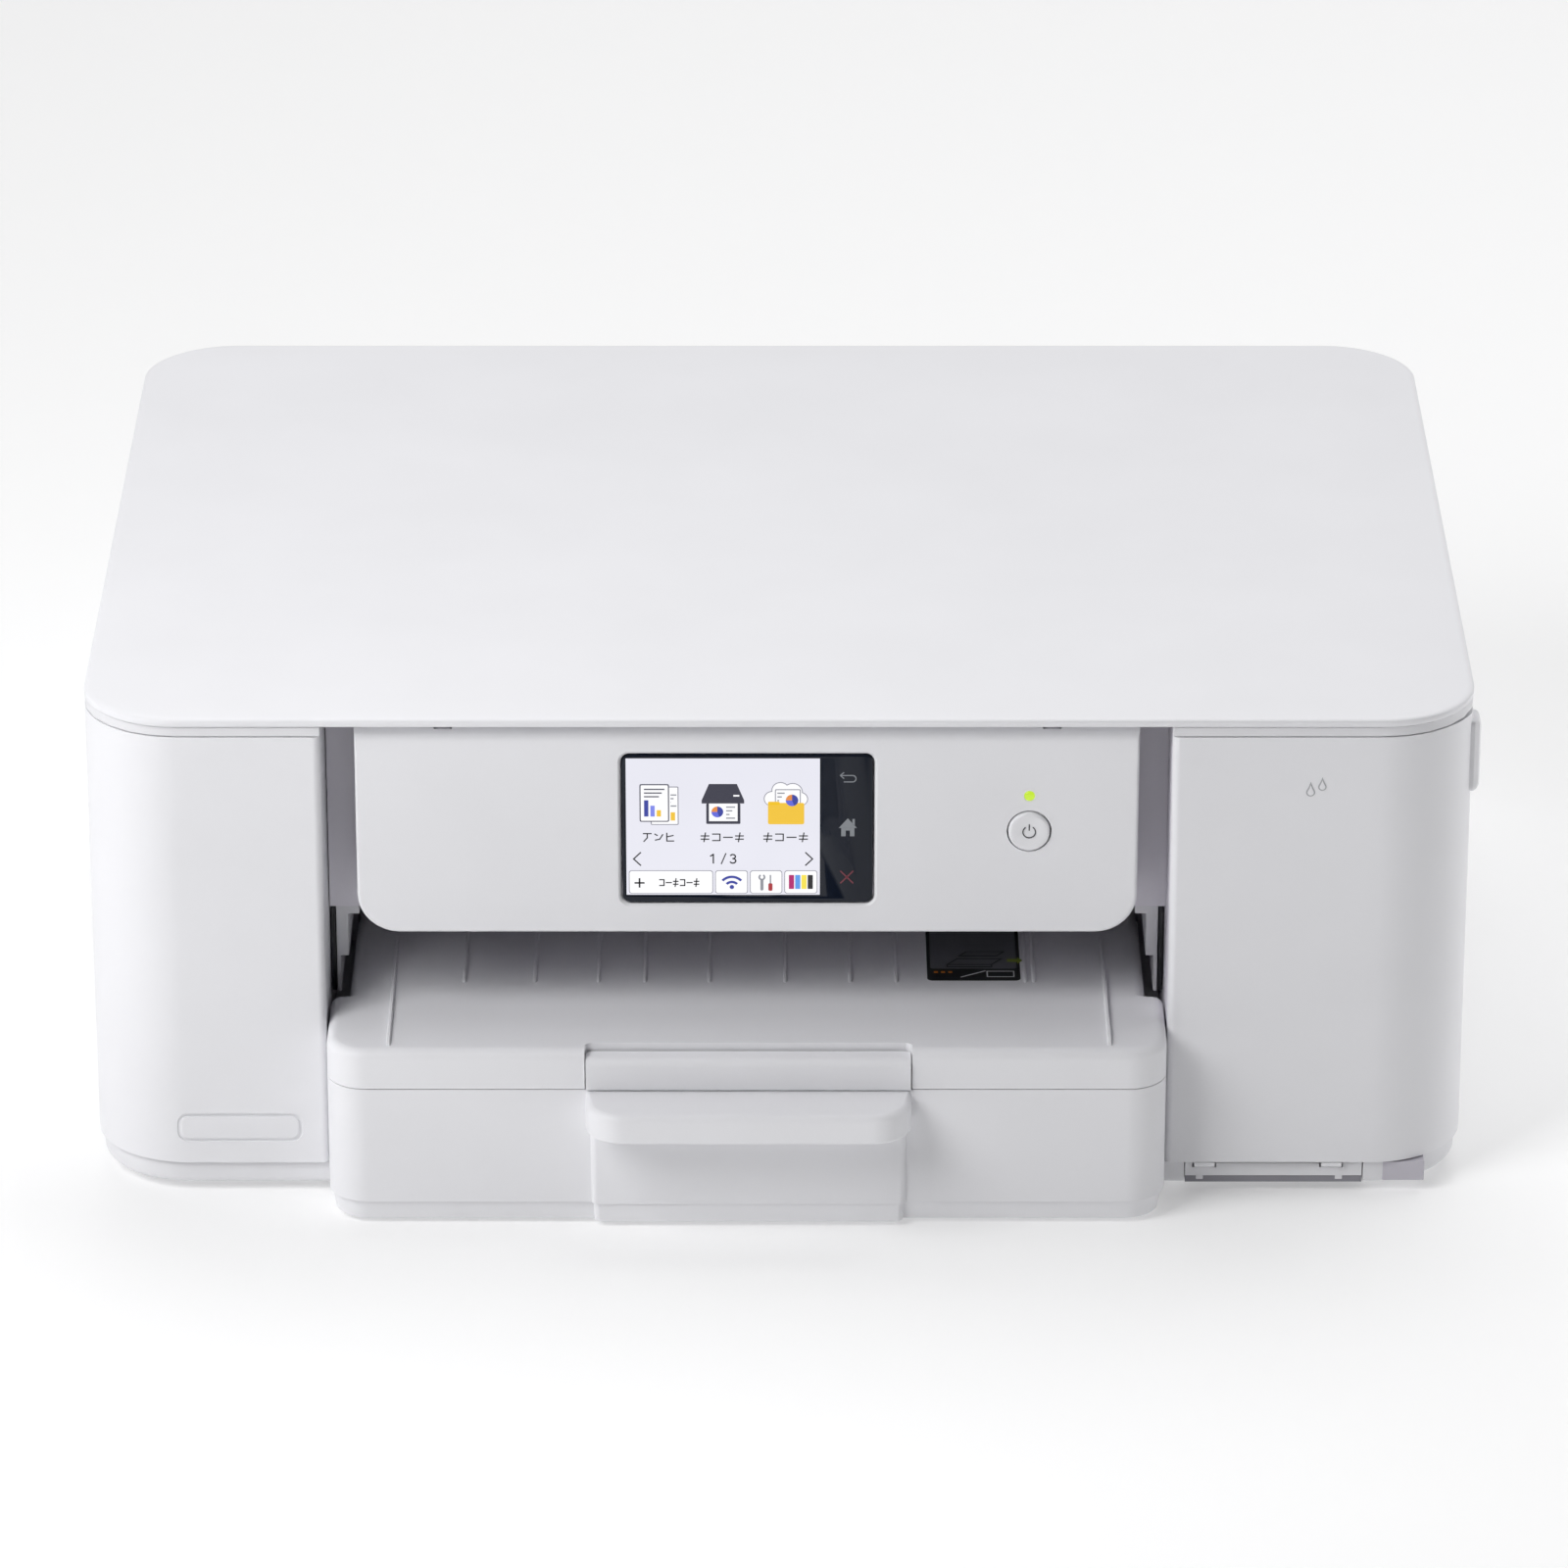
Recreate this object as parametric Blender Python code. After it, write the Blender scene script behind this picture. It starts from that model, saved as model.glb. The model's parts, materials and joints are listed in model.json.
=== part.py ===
"""A flat three-in-one inkjet printer for A4 paper: scanner on top, tilting control panel, front paper
cassette, and ink cartridges behind a door in the right-hand tower.

All lengths are in millimetres, and MM turns them into metres. +X is to the right seen from the front,
+Y to the back and +Z up. The origin is on the floor, under the middle of the printer.
"""

import math

import bmesh
import bpy
from mathutils import Vector

MM = 0.001
GAP = 0.3  # clearance between pieces that lie against each other
WALL = 2.4  # moulded casing thickness

# Overall size
HALF_WIDTH = 200.0
BACK = 170.5
BODY_FRONT = -132.5
LID_FRONT = -134.5
CASSETTE_FRONT = -153.0
HANDLE_FRONT = -170.5
CORNER = 28.0  # plan radius of the casing's corners

# Heights, from the floor up
FOOT_TOP = 2.7
BASE_BOTTOM = 3.0
SKIRT_TOP = 10.0
SHELL_TOP = 145.1
RIM_BOTTOM = SHELL_TOP + GAP
RIM_TOP = 148.3
LID_BOTTOM = RIM_TOP + GAP
TOP = 151.0

# The bay between the towers
BAY_LEFT = -131.0
BAY_RIGHT = 112.3
BAY_MIDDLE = (BAY_LEFT + BAY_RIGHT) / 2
BAY_DEPTH = -62.0  # where the towers' inner walls end
RECESS_Y = -107.4  # face of the wall behind the control panel
RECESS_BOTTOM = 81.0
DECK_BOTTOM, DECK_TOP = 57.0, 59.5

# Scanner
TUB_FRONT, TUB_BACK, TUB_HALF, TUB_BOTTOM = -102.0, 140.0, 186.0, 116.0
BED_TOP = 141.0  # ledge that the glass lies on
GLASS_TOP = 143.3

# Control panel, which tilts about its rounded top edge
PANEL_LEFT, PANEL_RIGHT = -121.4, 103.0
PANEL_FACE, PANEL_BACK = -129.5, -114.5
PANEL_BOTTOM = 82.6
PANEL_ROUND = 5.0
PANEL_AXIS = (PANEL_FACE + PANEL_ROUND, 142.5)
DISPLAY_X, DISPLAY_Z = (-45.0, 26.9), (92.2, 138.2)
BUTTON_X, BUTTON_Z, BUTTON_RADIUS = 71.7, 114.6, 6.0
LIGHT_Z = 125.6

# Cassette and the tray on top of it
CASSETTE_LEFT, CASSETTE_RIGHT = BAY_LEFT + 0.5, BAY_RIGHT - 0.5
CASSETTE_BACK, CASSETTE_BOTTOM, CASSETTE_TOP = 155.0, 1.5, 43.6
COVER_BOTTOM, COVER_TOP = 43.9, 55.8
COVER_HINGE = (-45.0, 51.5)
FLAP_X = (-55.6, 37.9)
BULGE_FRONT = -156.0
SUPPORT_X = (-54.5, 36.8)

# Print engine, on axes that run along X: (Y, Z)
FEED_AXIS, EJECT_AXIS = (46.0, 68.0), (-22.0, 68.0)
FEED_TEETH, IDLER_TEETH, PINION_TEETH = 36, 32, 12  # module 1
PINION_ANGLE = math.radians(60)
RAIL_FRONT = 60.0
PULLEY_Z, PULLEY_LEFT, PULLEY_RIGHT, PULLEY_RADIUS = 100.0, -122.0, 184.0, 6.2
PICKUP_PIVOT, PICKUP_AXIS, PICKUP_RADIUS = (74.0, 50.0), (120.0, 26.0), 11.0

# Ink door, on a hinge near its foot
DOOR_BACK = -100.0
DOOR_AXIS = (-131.0, 10.0)
DOOR_REACH = RIM_BOTTOM - DOOR_AXIS[1] - 0.1  # keeps its top corner under the scanner rim as it swings
INKS = ("black", "cyan", "magenta", "yellow")
CARTRIDGE_WIDTH, CARTRIDGE_PITCH, CARTRIDGE_START = 16.6, 18.4, 119.6

# Rear jam cover
JAM_X, JAM_Z = (-125.5, 103.5), (66.5, 137.5)


def material(name, colour, roughness, metallic=0.0):
    made = bpy.data.materials.new(name)
    made.use_nodes = True
    shader = made.node_tree.nodes["Principled BSDF"]
    channels = [int(colour[i : i + 2], 16) / 255 for i in (0, 2, 4)]
    linear = [c / 12.92 if c <= 0.04045 else ((c + 0.055) / 1.055) ** 2.4 for c in channels]
    shader.inputs["Base Color"].default_value = (*linear, 1)
    shader.inputs["Roughness"].default_value = roughness
    shader.inputs["Metallic"].default_value = metallic
    return made


def arc(u, v, radius, start, end, steps=6):
    """Points round a centre, angles in degrees."""
    angles = [math.radians(start + (end - start) * i / steps) for i in range(steps + 1)]
    return [(u + radius * math.cos(a), v + radius * math.sin(a)) for a in angles]


def circle(u, v, radius, steps=24):
    return arc(u, v, radius, 0, 360, steps)[:-1]


def rectangle(u0, u1, v0, v1, radius=0.0, upper=None):
    """A rectangle anticlockwise from its lower left, with its corners rounded where a radius is given."""
    upper = radius if upper is None else upper
    corners = ((u0, v0, 1, 1, radius, 180), (u1, v0, -1, 1, radius, 270))
    corners += ((u1, v1, -1, -1, upper, 0), (u0, v1, 1, -1, upper, 90))
    outline = []
    for u, v, right, up, r, start in corners:
        outline += arc(u + right * r, v + up * r, r, start, start + 90) if r else [(u, v)]
    return outline


def body_plan(inset=0.0, front=BODY_FRONT, back=BACK):
    """The casing's outline seen from above."""
    half = HALF_WIDTH - inset
    return rectangle(-half, half, front + inset, back - inset, CORNER - inset)


def finish(name, build, finish_material, origin):
    bmesh.ops.recalc_face_normals(build, faces=build.faces)
    mesh = bpy.data.meshes.new(name)
    build.to_mesh(mesh)
    build.free()
    mesh.materials.append(finish_material)
    mesh.shade_smooth()
    mesh.set_sharp_from_angle(angle=math.radians(32))
    made = bpy.data.objects.new(name, mesh)
    made.location = Vector(origin) * MM
    bpy.context.collection.objects.link(made)
    return made


def loft(name, rings, finish_material=None, origin=(0, 0, 0)):
    """A closed body through rings with as many points each, capped at both ends."""
    build = bmesh.new()
    loops = [[build.verts.new((Vector(p) - Vector(origin)) * MM) for p in ring] for ring in rings]
    for lower, upper in zip(loops, loops[1:]):
        for i in range(len(lower)):
            j = (i + 1) % len(lower)
            build.faces.new((lower[i], lower[j], upper[j], upper[i]))
    build.faces.new(loops[0])
    build.faces.new(loops[-1])
    return finish(name, build, finish_material, origin)


def place(outline, level, axis):
    """An outline's points in space, on the plane across the axis at that level."""
    if axis == "X":
        return [(level, u, v) for u, v in outline]
    if axis == "Y":
        return [(u, level, v) for u, v in outline]
    return [(u, v, level) for u, v in outline]


def prism(name, outline, span, axis="Z", finish_material=None, origin=(0, 0, 0)):
    return loft(name, [place(outline, level, axis) for level in span], finish_material, origin)


def box(name, x, y, z, finish_material=None, origin=(0, 0, 0)):
    return prism(name, rectangle(*x, *y), z, "Z", finish_material, origin)


def tube(name, outer, inner, span, axis="Z", finish_material=None, origin=(0, 0, 0)):
    """A ring-shaped body between two outlines with as many points each."""
    build = bmesh.new()
    low, high = span
    path = ((outer, low), (outer, high), (inner, high), (inner, low))
    loops = [
        [build.verts.new((Vector(p) - Vector(origin)) * MM) for p in place(outline, level, axis)]
        for outline, level in path
    ]
    for k, first in enumerate(loops):
        second = loops[(k + 1) % 4]
        for i in range(len(first)):
            j = (i + 1) % len(first)
            build.faces.new((first[i], first[j], second[j], second[i]))
    return finish(name, build, finish_material, origin)


def combine(body, operation, others):
    """Applies a Boolean with each of the others in turn, and removes them."""
    for other in others:
        modifier = body.modifiers.new(operation.title(), "BOOLEAN")
        modifier.operation = operation
        modifier.solver = "EXACT"
        modifier.object = other
        graph = bpy.context.evaluated_depsgraph_get()
        mesh = bpy.data.meshes.new_from_object(body.evaluated_get(graph))
        body.modifiers.clear()
        used = (body.data, other.data)
        body.data = mesh
        bpy.data.objects.remove(other)
        for old in used:
            bpy.data.meshes.remove(old)
    body.data.name = body.name
    return body


def join(body, *others):
    return combine(body, "UNION", others)


def cut(body, *others):
    return combine(body, "DIFFERENCE", others)


def attach(child, parent):
    """Makes a piece follow another without moving it."""
    child.parent = parent
    while parent:
        child.location -= parent.location
        parent = parent.parent


def gear_outline(axis, teeth, turn=0.0):
    """Module 1 spur gear with involute flanks, its first tooth centred at the given angle."""
    pitch = teeth / 2
    base = pitch * math.cos(math.radians(20))
    root, tip = pitch - 1.2, pitch + 0.9
    half_at_pitch = 0.8 * math.pi / (2 * teeth)  # thinner than half a pitch, for backlash

    def involute(radius):
        roll = math.acos(min(1.0, base / radius))
        return math.tan(roll) - roll

    flank = [max(root, base), pitch, (pitch + tip) / 2, tip]
    halves = [(r, half_at_pitch + involute(pitch) - involute(r)) for r in flank]
    if root < base:
        halves.insert(0, (root, halves[0][1] + 0.02))
    points = []
    for tooth in range(teeth):
        middle = turn + 2 * math.pi * tooth / teeth
        for side in (-1, 1):
            for radius, half in halves[::-side]:
                angle = middle + side * half
                points.append((axis[0] + radius * math.cos(angle), axis[1] + radius * math.sin(angle)))
    return points


def make_base(plastic):
    """Floor with its skirt, the cassette's channel with rails, and the deck under the print engine."""
    inset = 1.5
    skirt = [place(body_plan(inset + 2.5), BASE_BOTTOM, "Z")]
    skirt += [place(body_plan(inset + d), z, "Z") for d, z in ((0.8, 4.2), (0.0, 6.2), (0.0, SKIRT_TOP))]
    base = loft("base_chassis", skirt, plastic)
    left, right = BAY_LEFT - WALL, BAY_RIGHT + WALL
    lip, floor = 4.0, 6.0
    far = HALF_WIDTH - inset - lip
    cut(
        base,
        box("cassette_way", (BAY_LEFT, BAY_RIGHT), (-140, 158), (0, 20)),
        prism("left_tray", rectangle(-far, left - 2, BODY_FRONT + 6, 155, 14), (floor, 20)),
        prism("right_tray", rectangle(right + 2, far, BODY_FRONT + 6, 155, 14), (floor, 20)),
        box("door_relief", (BAY_RIGHT + 5, 168), (-140, -124), (0, 20)),
    )
    back = 162.0
    walls = [
        box("left_wall", (left, BAY_LEFT), (BAY_DEPTH + GAP, back), (8, DECK_TOP)),
        box("right_wall", (BAY_RIGHT, right), (BAY_DEPTH + GAP, back), (8, DECK_TOP)),
        box("deck", (left, right), (-20, back), (DECK_BOTTOM, DECK_TOP)),
        box("left_rail", (BAY_LEFT - 1, BAY_LEFT + 2), (-56, 150), (26, 29)),
        box("right_rail", (BAY_RIGHT - 2, BAY_RIGHT + 1), (-56, 150), (26, 29)),
    ]
    join(base, *walls)
    return cut(base, box("arm_window", (-32, 14), (62, 140), (50, 70)))


def make_covers(plastic):
    """The casing's fixed shells: left side, right side and back."""
    outer, inner = HALF_WIDTH, HALF_WIDTH - WALL
    bend, side_end = BODY_FRONT + CORNER, 140.0
    low, high = SKIRT_TOP + GAP, SHELL_TOP
    left = [(BAY_LEFT, BODY_FRONT)]
    left += arc(-outer + CORNER, bend, CORNER, 270, 180)
    left += [(-outer, side_end), (-inner, side_end)]
    left += arc(-outer + CORNER, bend, CORNER - WALL, 180, 270)
    left += [(BAY_LEFT - WALL, BODY_FRONT + WALL), (BAY_LEFT - WALL, BAY_DEPTH), (BAY_LEFT, BAY_DEPTH)]
    cover = prism("left_cover", left, (low, high), "Z", plastic)
    cut(cover, box("tub_room", (BAY_LEFT - 5, BAY_LEFT + 1), (TUB_FRONT - 3, 0), (TUB_BOTTOM - 3, high + 1)))

    start = DOOR_BACK + GAP
    right = [(outer, start), (outer, side_end), (inner, side_end)]
    right += [(inner, start + WALL), (inner - 6, start + WALL), (inner - 6, start)]
    prism("right_cover", right, (low, high), "Z", plastic)

    bend, start = BACK - CORNER, side_end + GAP
    rear = [(outer, start)] + arc(outer - CORNER, bend, CORNER, 0, 90)
    rear += arc(CORNER - outer, bend, CORNER, 90, 180) + [(-outer, start), (-inner, start)]
    rear += arc(CORNER - outer, bend, CORNER - WALL, 180, 90)
    rear += arc(outer - CORNER, bend, CORNER - WALL, 90, 0) + [(inner, start)]
    back = prism("rear_cover", rear, (low, high), "Z", plastic)
    room = 0.5
    cut(
        back,
        box("jam_way", (JAM_X[0] - room, JAM_X[1] + room), (160, 175), (JAM_Z[0] - room, JAM_Z[1] + room)),
        box("inlet_way", (147.7, 176.3), (160, 175), (20.7, 41.3)),
        box("ports_way", (-168.3, -135.7), (160, 175), (19.7, 38.3)),
        box("cassette_end", (BAY_LEFT, BAY_RIGHT), (160, 168.2), (8, 20)),
    )


def make_front_frame(plastic):
    """Wall and ceiling of the bay, the right tower's inner wall, and the ears that hold the panel."""
    thick = WALL
    across = (BAY_LEFT + GAP, BAY_RIGHT + thick)
    frame = box("front_frame", across, (RECESS_Y, RECESS_Y + thick), (RECESS_BOTTOM, SHELL_TOP), plastic)
    front = BODY_FRONT + WALL + GAP
    pieces = [
        box("inner_wall", (BAY_RIGHT, BAY_RIGHT + thick), (front, BAY_DEPTH), (SKIRT_TOP + GAP, SHELL_TOP)),
        box("ceiling", (BAY_LEFT + GAP, BAY_RIGHT + 1), (RECESS_Y, -50), (RECESS_BOTTOM, RECESS_BOTTOM + thick)),
    ]
    axis_y, axis_z = PANEL_AXIS
    for middle in (-96.0, 78.0):
        ear = [(RECESS_Y + 1, axis_z - 7), (RECESS_Y + 1, axis_z + 2.5), (axis_y, axis_z + 3)]
        ear += arc(axis_y, axis_z, 3, 90, 240)[1:]
        pieces.append(prism("ear", ear, (middle - 2, middle + 2), "X"))
        pieces.append(prism("pin", circle(axis_y, axis_z, 1.5, 16), (middle - 5, middle + 5), "X"))
    join(frame, *pieces)
    tub_room = box("tub_room", (BAY_RIGHT - 1, BAY_RIGHT + 5), (TUB_FRONT - 3, 0), (TUB_BOTTOM - 3, SHELL_TOP + 1))
    cut(frame, tub_room)

    # Stepped brackets that guide the tray's sides, hung under the ceiling
    steps = ((9.0, RECESS_BOTTOM - GAP, 77.5), (5.2, 77.5, 66.3), (2.6, 66.3, 52.5))
    for name, side, edge in (("guide_bracket_left", 1, BAY_LEFT), ("guide_bracket_right", -1, BAY_RIGHT)):
        outline = [(edge + side * GAP, 52.5)]
        for width, top, bottom in reversed(steps):
            outline += [(edge + side * width, bottom), (edge + side * width, top)]
        outline.append((edge + side * GAP, RECESS_BOTTOM - GAP))
        prism(name, outline, (-104.7, -64.0), "Y", plastic)


def make_feet(rubber):
    spots = {"front_left": (-165, -95), "front_right": (160, -95)}
    spots |= {"rear_left": (-165, 140), "rear_right": (160, 140)}
    for place_name, (x, y) in spots.items():
        rings = [place(circle(x, y, r), z, "Z") for r, z in ((6.2, 0.0), (7.0, 0.8), (7.0, FOOT_TOP))]
        loft("foot_" + place_name, rings, rubber)


def make_scanner(plastic, glass, dark, steel, trim, foam):
    """Tub with its glass, the sensor bar on its rod, and the document lid with its pressing pad."""
    hinge = (0, BACK, (RIM_BOTTOM + SHELL_TOP) / 2)
    rim = prism("scanner_base", body_plan(), (RIM_BOTTOM, RIM_TOP), "Z", plastic, hinge)
    cut(rim, box("panel_notch", (BAY_LEFT, BAY_RIGHT), (-150, RECESS_Y + 1.4), (100, 160)))
    join(rim, box("tub", (-TUB_HALF, TUB_HALF), (TUB_FRONT, TUB_BACK), (TUB_BOTTOM, RIM_BOTTOM + 1)))
    cut(
        rim,
        box("tub_room", (2 - TUB_HALF, TUB_HALF - 2), (TUB_FRONT + 2, TUB_BACK - 2), (TUB_BOTTOM + 2, BED_TOP - 2.1)),
        box("bed", (-158, 158), (-98, 122), (BED_TOP, 160)),
        box("window", (-152, 152), (-95.5, 119.5), (130, 160)),
    )
    pane = box("scanner_glass", (-155, 155), (-97.4, 121.4), (BED_TOP + GAP, GLASS_TOP), glass)
    rod_axis = (10.0, 122.0)
    rod = prism("scanner_rod", circle(*rod_axis, 3, 16), (2.3 - TUB_HALF, TUB_HALF - 2.3), "X", steel)
    sensor = box("scan_bar", (-181, -163), (-97, 119), (125.6, 138.3), dark, (-172, 12, 132))
    lid_axis = (0, BACK, (RIM_TOP + LID_BOTTOM) / 2)
    lid_rings = [
        place(body_plan(inset, LID_FRONT), z, "Z")
        for inset, z in ((0.8, LID_BOTTOM), (0.0, 149.3), (0.9, 150.4), (3.4, TOP))
    ]
    lid = loft("document_lid", lid_rings, trim, lid_axis)
    pad = box("lid_pad", (-154, 154), (-94, 118), (GLASS_TOP + 0.4, RIM_TOP), foam)
    for piece in (pane, rod, sensor, lid):
        attach(piece, rim)
    attach(pad, lid)


def make_panel(plastic, dark, button_plastic, light):
    """Tilting panel, its display, the power button and the button's light."""
    axis_y, axis_z = PANEL_AXIS
    side = arc(axis_y, axis_z, PANEL_ROUND, 0, 180, 8)
    side += arc(PANEL_FACE + 2, PANEL_BOTTOM + 2, 2, 180, 270, 4)
    side += [(PANEL_BACK - 3, PANEL_BOTTOM), (PANEL_BACK, PANEL_BOTTOM + 3), (PANEL_BACK, axis_z - 12)]
    panel = prism("control_panel", side, (PANEL_LEFT, PANEL_RIGHT), "X", plastic, (BAY_MIDDLE, axis_y, axis_z))
    front = rectangle(PANEL_LEFT, PANEL_RIGHT, PANEL_BOTTOM, axis_z + PANEL_ROUND + 2, 12, 3)
    combine(panel, "INTERSECT", [prism("panel_front", front, (PANEL_FACE - 1, PANEL_BACK + 1), "Y")])
    hollow = 2.2
    low, high = PANEL_BOTTOM + hollow, axis_z - 8
    cut(
        panel,
        box("hollow", (PANEL_LEFT + 4, PANEL_RIGHT - 4), (PANEL_FACE + hollow, -100), (low, high)),
        box("display_way", (-45.3, 27.2), (PANEL_FACE - 1, -120), (91.9, 138.5)),
        prism("button_way", circle(BUTTON_X, BUTTON_Z, BUTTON_RADIUS + GAP, 32), (-135, -120), "Y"),
        prism("light_way", circle(BUTTON_X, LIGHT_Z, 1.5, 12), (-135, -120), "Y"),
    )
    for middle in (-96.0, 78.0):
        cut(
            panel,
            box("ear_slot", (middle - 2.6, middle + 2.6), (PANEL_FACE + 1.4, -100), (axis_z - 16, 160)),
            prism("pin_hole", circle(axis_y, axis_z, 1.8, 16), (middle - 5.5, middle + 5.5), "X"),
        )
    display = box("display_module", DISPLAY_X, (PANEL_FACE + 0.1, -120.5), DISPLAY_Z, dark)
    button_front = PANEL_FACE - 0.8
    centre = (BUTTON_X, button_front, BUTTON_Z)
    rings = [
        place(circle(BUTTON_X, BUTTON_Z, r, 32), y, "Y")
        for r, y in ((5.5, button_front), (BUTTON_RADIUS, button_front + 0.5), (BUTTON_RADIUS, -122.0))
    ]
    button = loft("power_button", rings, button_plastic, centre)
    lens = prism("power_light", circle(BUTTON_X, LIGHT_Z, 1.2, 12), (PANEL_FACE - 0.1, -124), "Y", light)
    for piece in (display, button, lens):
        attach(piece, panel)


def make_print_engine(metal, dark, steel, rubber, gear_plastic, plastic, belt):
    """Rail, carriage and head, the belt drive, platen, rollers and gear train."""
    left, right = BAY_LEFT + 0.5, 190.0
    low, high = DECK_TOP + 5, 113.0
    rail = [(RAIL_FRONT, low), (RAIL_FRONT + 12, low), (RAIL_FRONT + 12, low + 1.5), (RAIL_FRONT + 1.5, low + 1.5)]
    rail += [(RAIL_FRONT + 1.5, high - 1.5), (RAIL_FRONT + 9, high - 1.5), (RAIL_FRONT + 9, high), (RAIL_FRONT, high)]
    prism("carriage_rail", rail, (left, right), "X", metal)

    middle, half = 145.0, 36.0
    carriage_origin = (middle, 20, 96)
    carriage = box("print_carriage", (middle - half, middle + half), (-12, 50), (80, 112), dark, carriage_origin)
    cut(carriage, box("damper_bay", (middle - half + 2, middle + half - 2), (-10, 40), (84, 120)))
    head = [
        place(rectangle(middle - a, middle + a, b, c), z, "Z")
        for a, b, c, z in ((20, 2, 34, 75.0), (24, -2, 38, 77.0), (24, -2, 38, 79.7))
    ]
    attach(loft("print_head", head, steel), carriage)

    belt_y = (53.5, 57.5)
    span = ((PULLEY_LEFT, 180, 90, 270), (PULLEY_RIGHT, 0, 270, 450))

    def loop(radius):
        return [p for x, _, start, end in span for p in arc(x, PULLEY_Z, radius, start, end, 8)]

    tube("carriage_belt", loop(PULLEY_RADIUS + 1.2), loop(PULLEY_RADIUS + GAP), belt_y, "Y", belt)
    for name, x in (("drive_pulley", PULLEY_RIGHT), ("idler_pulley", PULLEY_LEFT)):
        outline = circle(x, PULLEY_Z, PULLEY_RADIUS, 20)
        prism(name, outline, (53.0, 59.0), "Y", gear_plastic, (x, 56, PULLEY_Z))
    prism("carriage_motor", circle(PULLEY_RIGHT, PULLEY_Z, 12, 24), (RAIL_FRONT + 10, 96), "Y", steel)

    ribs, platen_low, platen_high = 10, DECK_TOP + 4, 73.0
    x0, x1 = BAY_LEFT + 9, BAY_RIGHT - 9
    step = (x1 - x0) / ribs
    comb = [(x0, platen_low), (x1, platen_low)]
    for i in reversed(range(ribs)):
        start = x0 + i * step
        comb += [(start + step, platen_high - 2), (start + 2, platen_high - 2)]
        comb += [(start + 1.5, platen_high), (start + 0.5, platen_high), (start, platen_high - 2)]
    prism("platen", comb[:-1] + [(x0, platen_high - 2)], (-14, 36), "Y", dark)

    idler_axis = (FEED_AXIS[0] - (FEED_TEETH + IDLER_TEETH) / 2, FEED_AXIS[1])
    reach = (FEED_TEETH + PINION_TEETH) / 2
    pinion_axis = (
        FEED_AXIS[0] + reach * math.cos(PINION_ANGLE),
        FEED_AXIS[1] + reach * math.sin(PINION_ANGLE),
    )
    gear_x = (BAY_LEFT - 14, BAY_LEFT - 9)
    for name, axis, radius in (("feed_roller", FEED_AXIS, 6.0), ("eject_roller", EJECT_AXIS, 5.0)):
        ends = BAY_LEFT + 10, BAY_RIGHT - 10
        rubber_part = prism(name, circle(*axis, radius, 20), ends, "X", rubber, (BAY_MIDDLE, *axis))
        join(rubber_part, prism("shaft", circle(*axis, 2.5, 12), (gear_x[1] + GAP, BAY_RIGHT - 4), "X"))
    turns = math.pi / IDLER_TEETH, PINION_ANGLE + math.pi + math.pi / PINION_TEETH
    train = (
        ("feed_gear", FEED_AXIS, FEED_TEETH, 0.0),
        ("eject_gear", EJECT_AXIS, FEED_TEETH, 0.0),
        ("idler_gear", idler_axis, IDLER_TEETH, turns[0]),
        ("motor_pinion", pinion_axis, PINION_TEETH, turns[1]),
    )
    for name, axis, teeth, turn in train:
        prism(name, gear_outline(axis, teeth, turn), gear_x, "X", gear_plastic, (gear_x[0], *axis))
    prism("feed_motor", circle(*pinion_axis, 14, 24), (gear_x[0] - 34, gear_x[0] - 4), "X", steel)

    pivot, roller_axis = PICKUP_PIVOT, PICKUP_AXIS
    arm_x = (-25.0, -19.0)
    lean = math.degrees(math.atan2(roller_axis[1] - pivot[1], roller_axis[0] - pivot[0]))
    outline = arc(*pivot, 5, lean + 90, lean + 270) + arc(*roller_axis, 4, lean - 90, lean + 90)
    arm = prism("pickup_arm", outline, arm_x, "X", plastic, (arm_x[0], *pivot))
    stub = prism("stub", circle(*roller_axis, 2, 12), (arm_x[1] - 1, 8), "X")
    shaft = prism("shaft", circle(*pivot, 2.5, 12), (arm_x[0] - 4, 8), "X")
    join(arm, stub, shaft)
    roller_x = (arm_x[1] + GAP, 7.0)
    outer, bore = circle(*roller_axis, PICKUP_RADIUS, 20), circle(*roller_axis, 2.4, 20)
    attach(tube("pickup_roller", outer, bore, roller_x, "X", rubber, (roller_x[0], *roller_axis)), arm)


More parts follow.
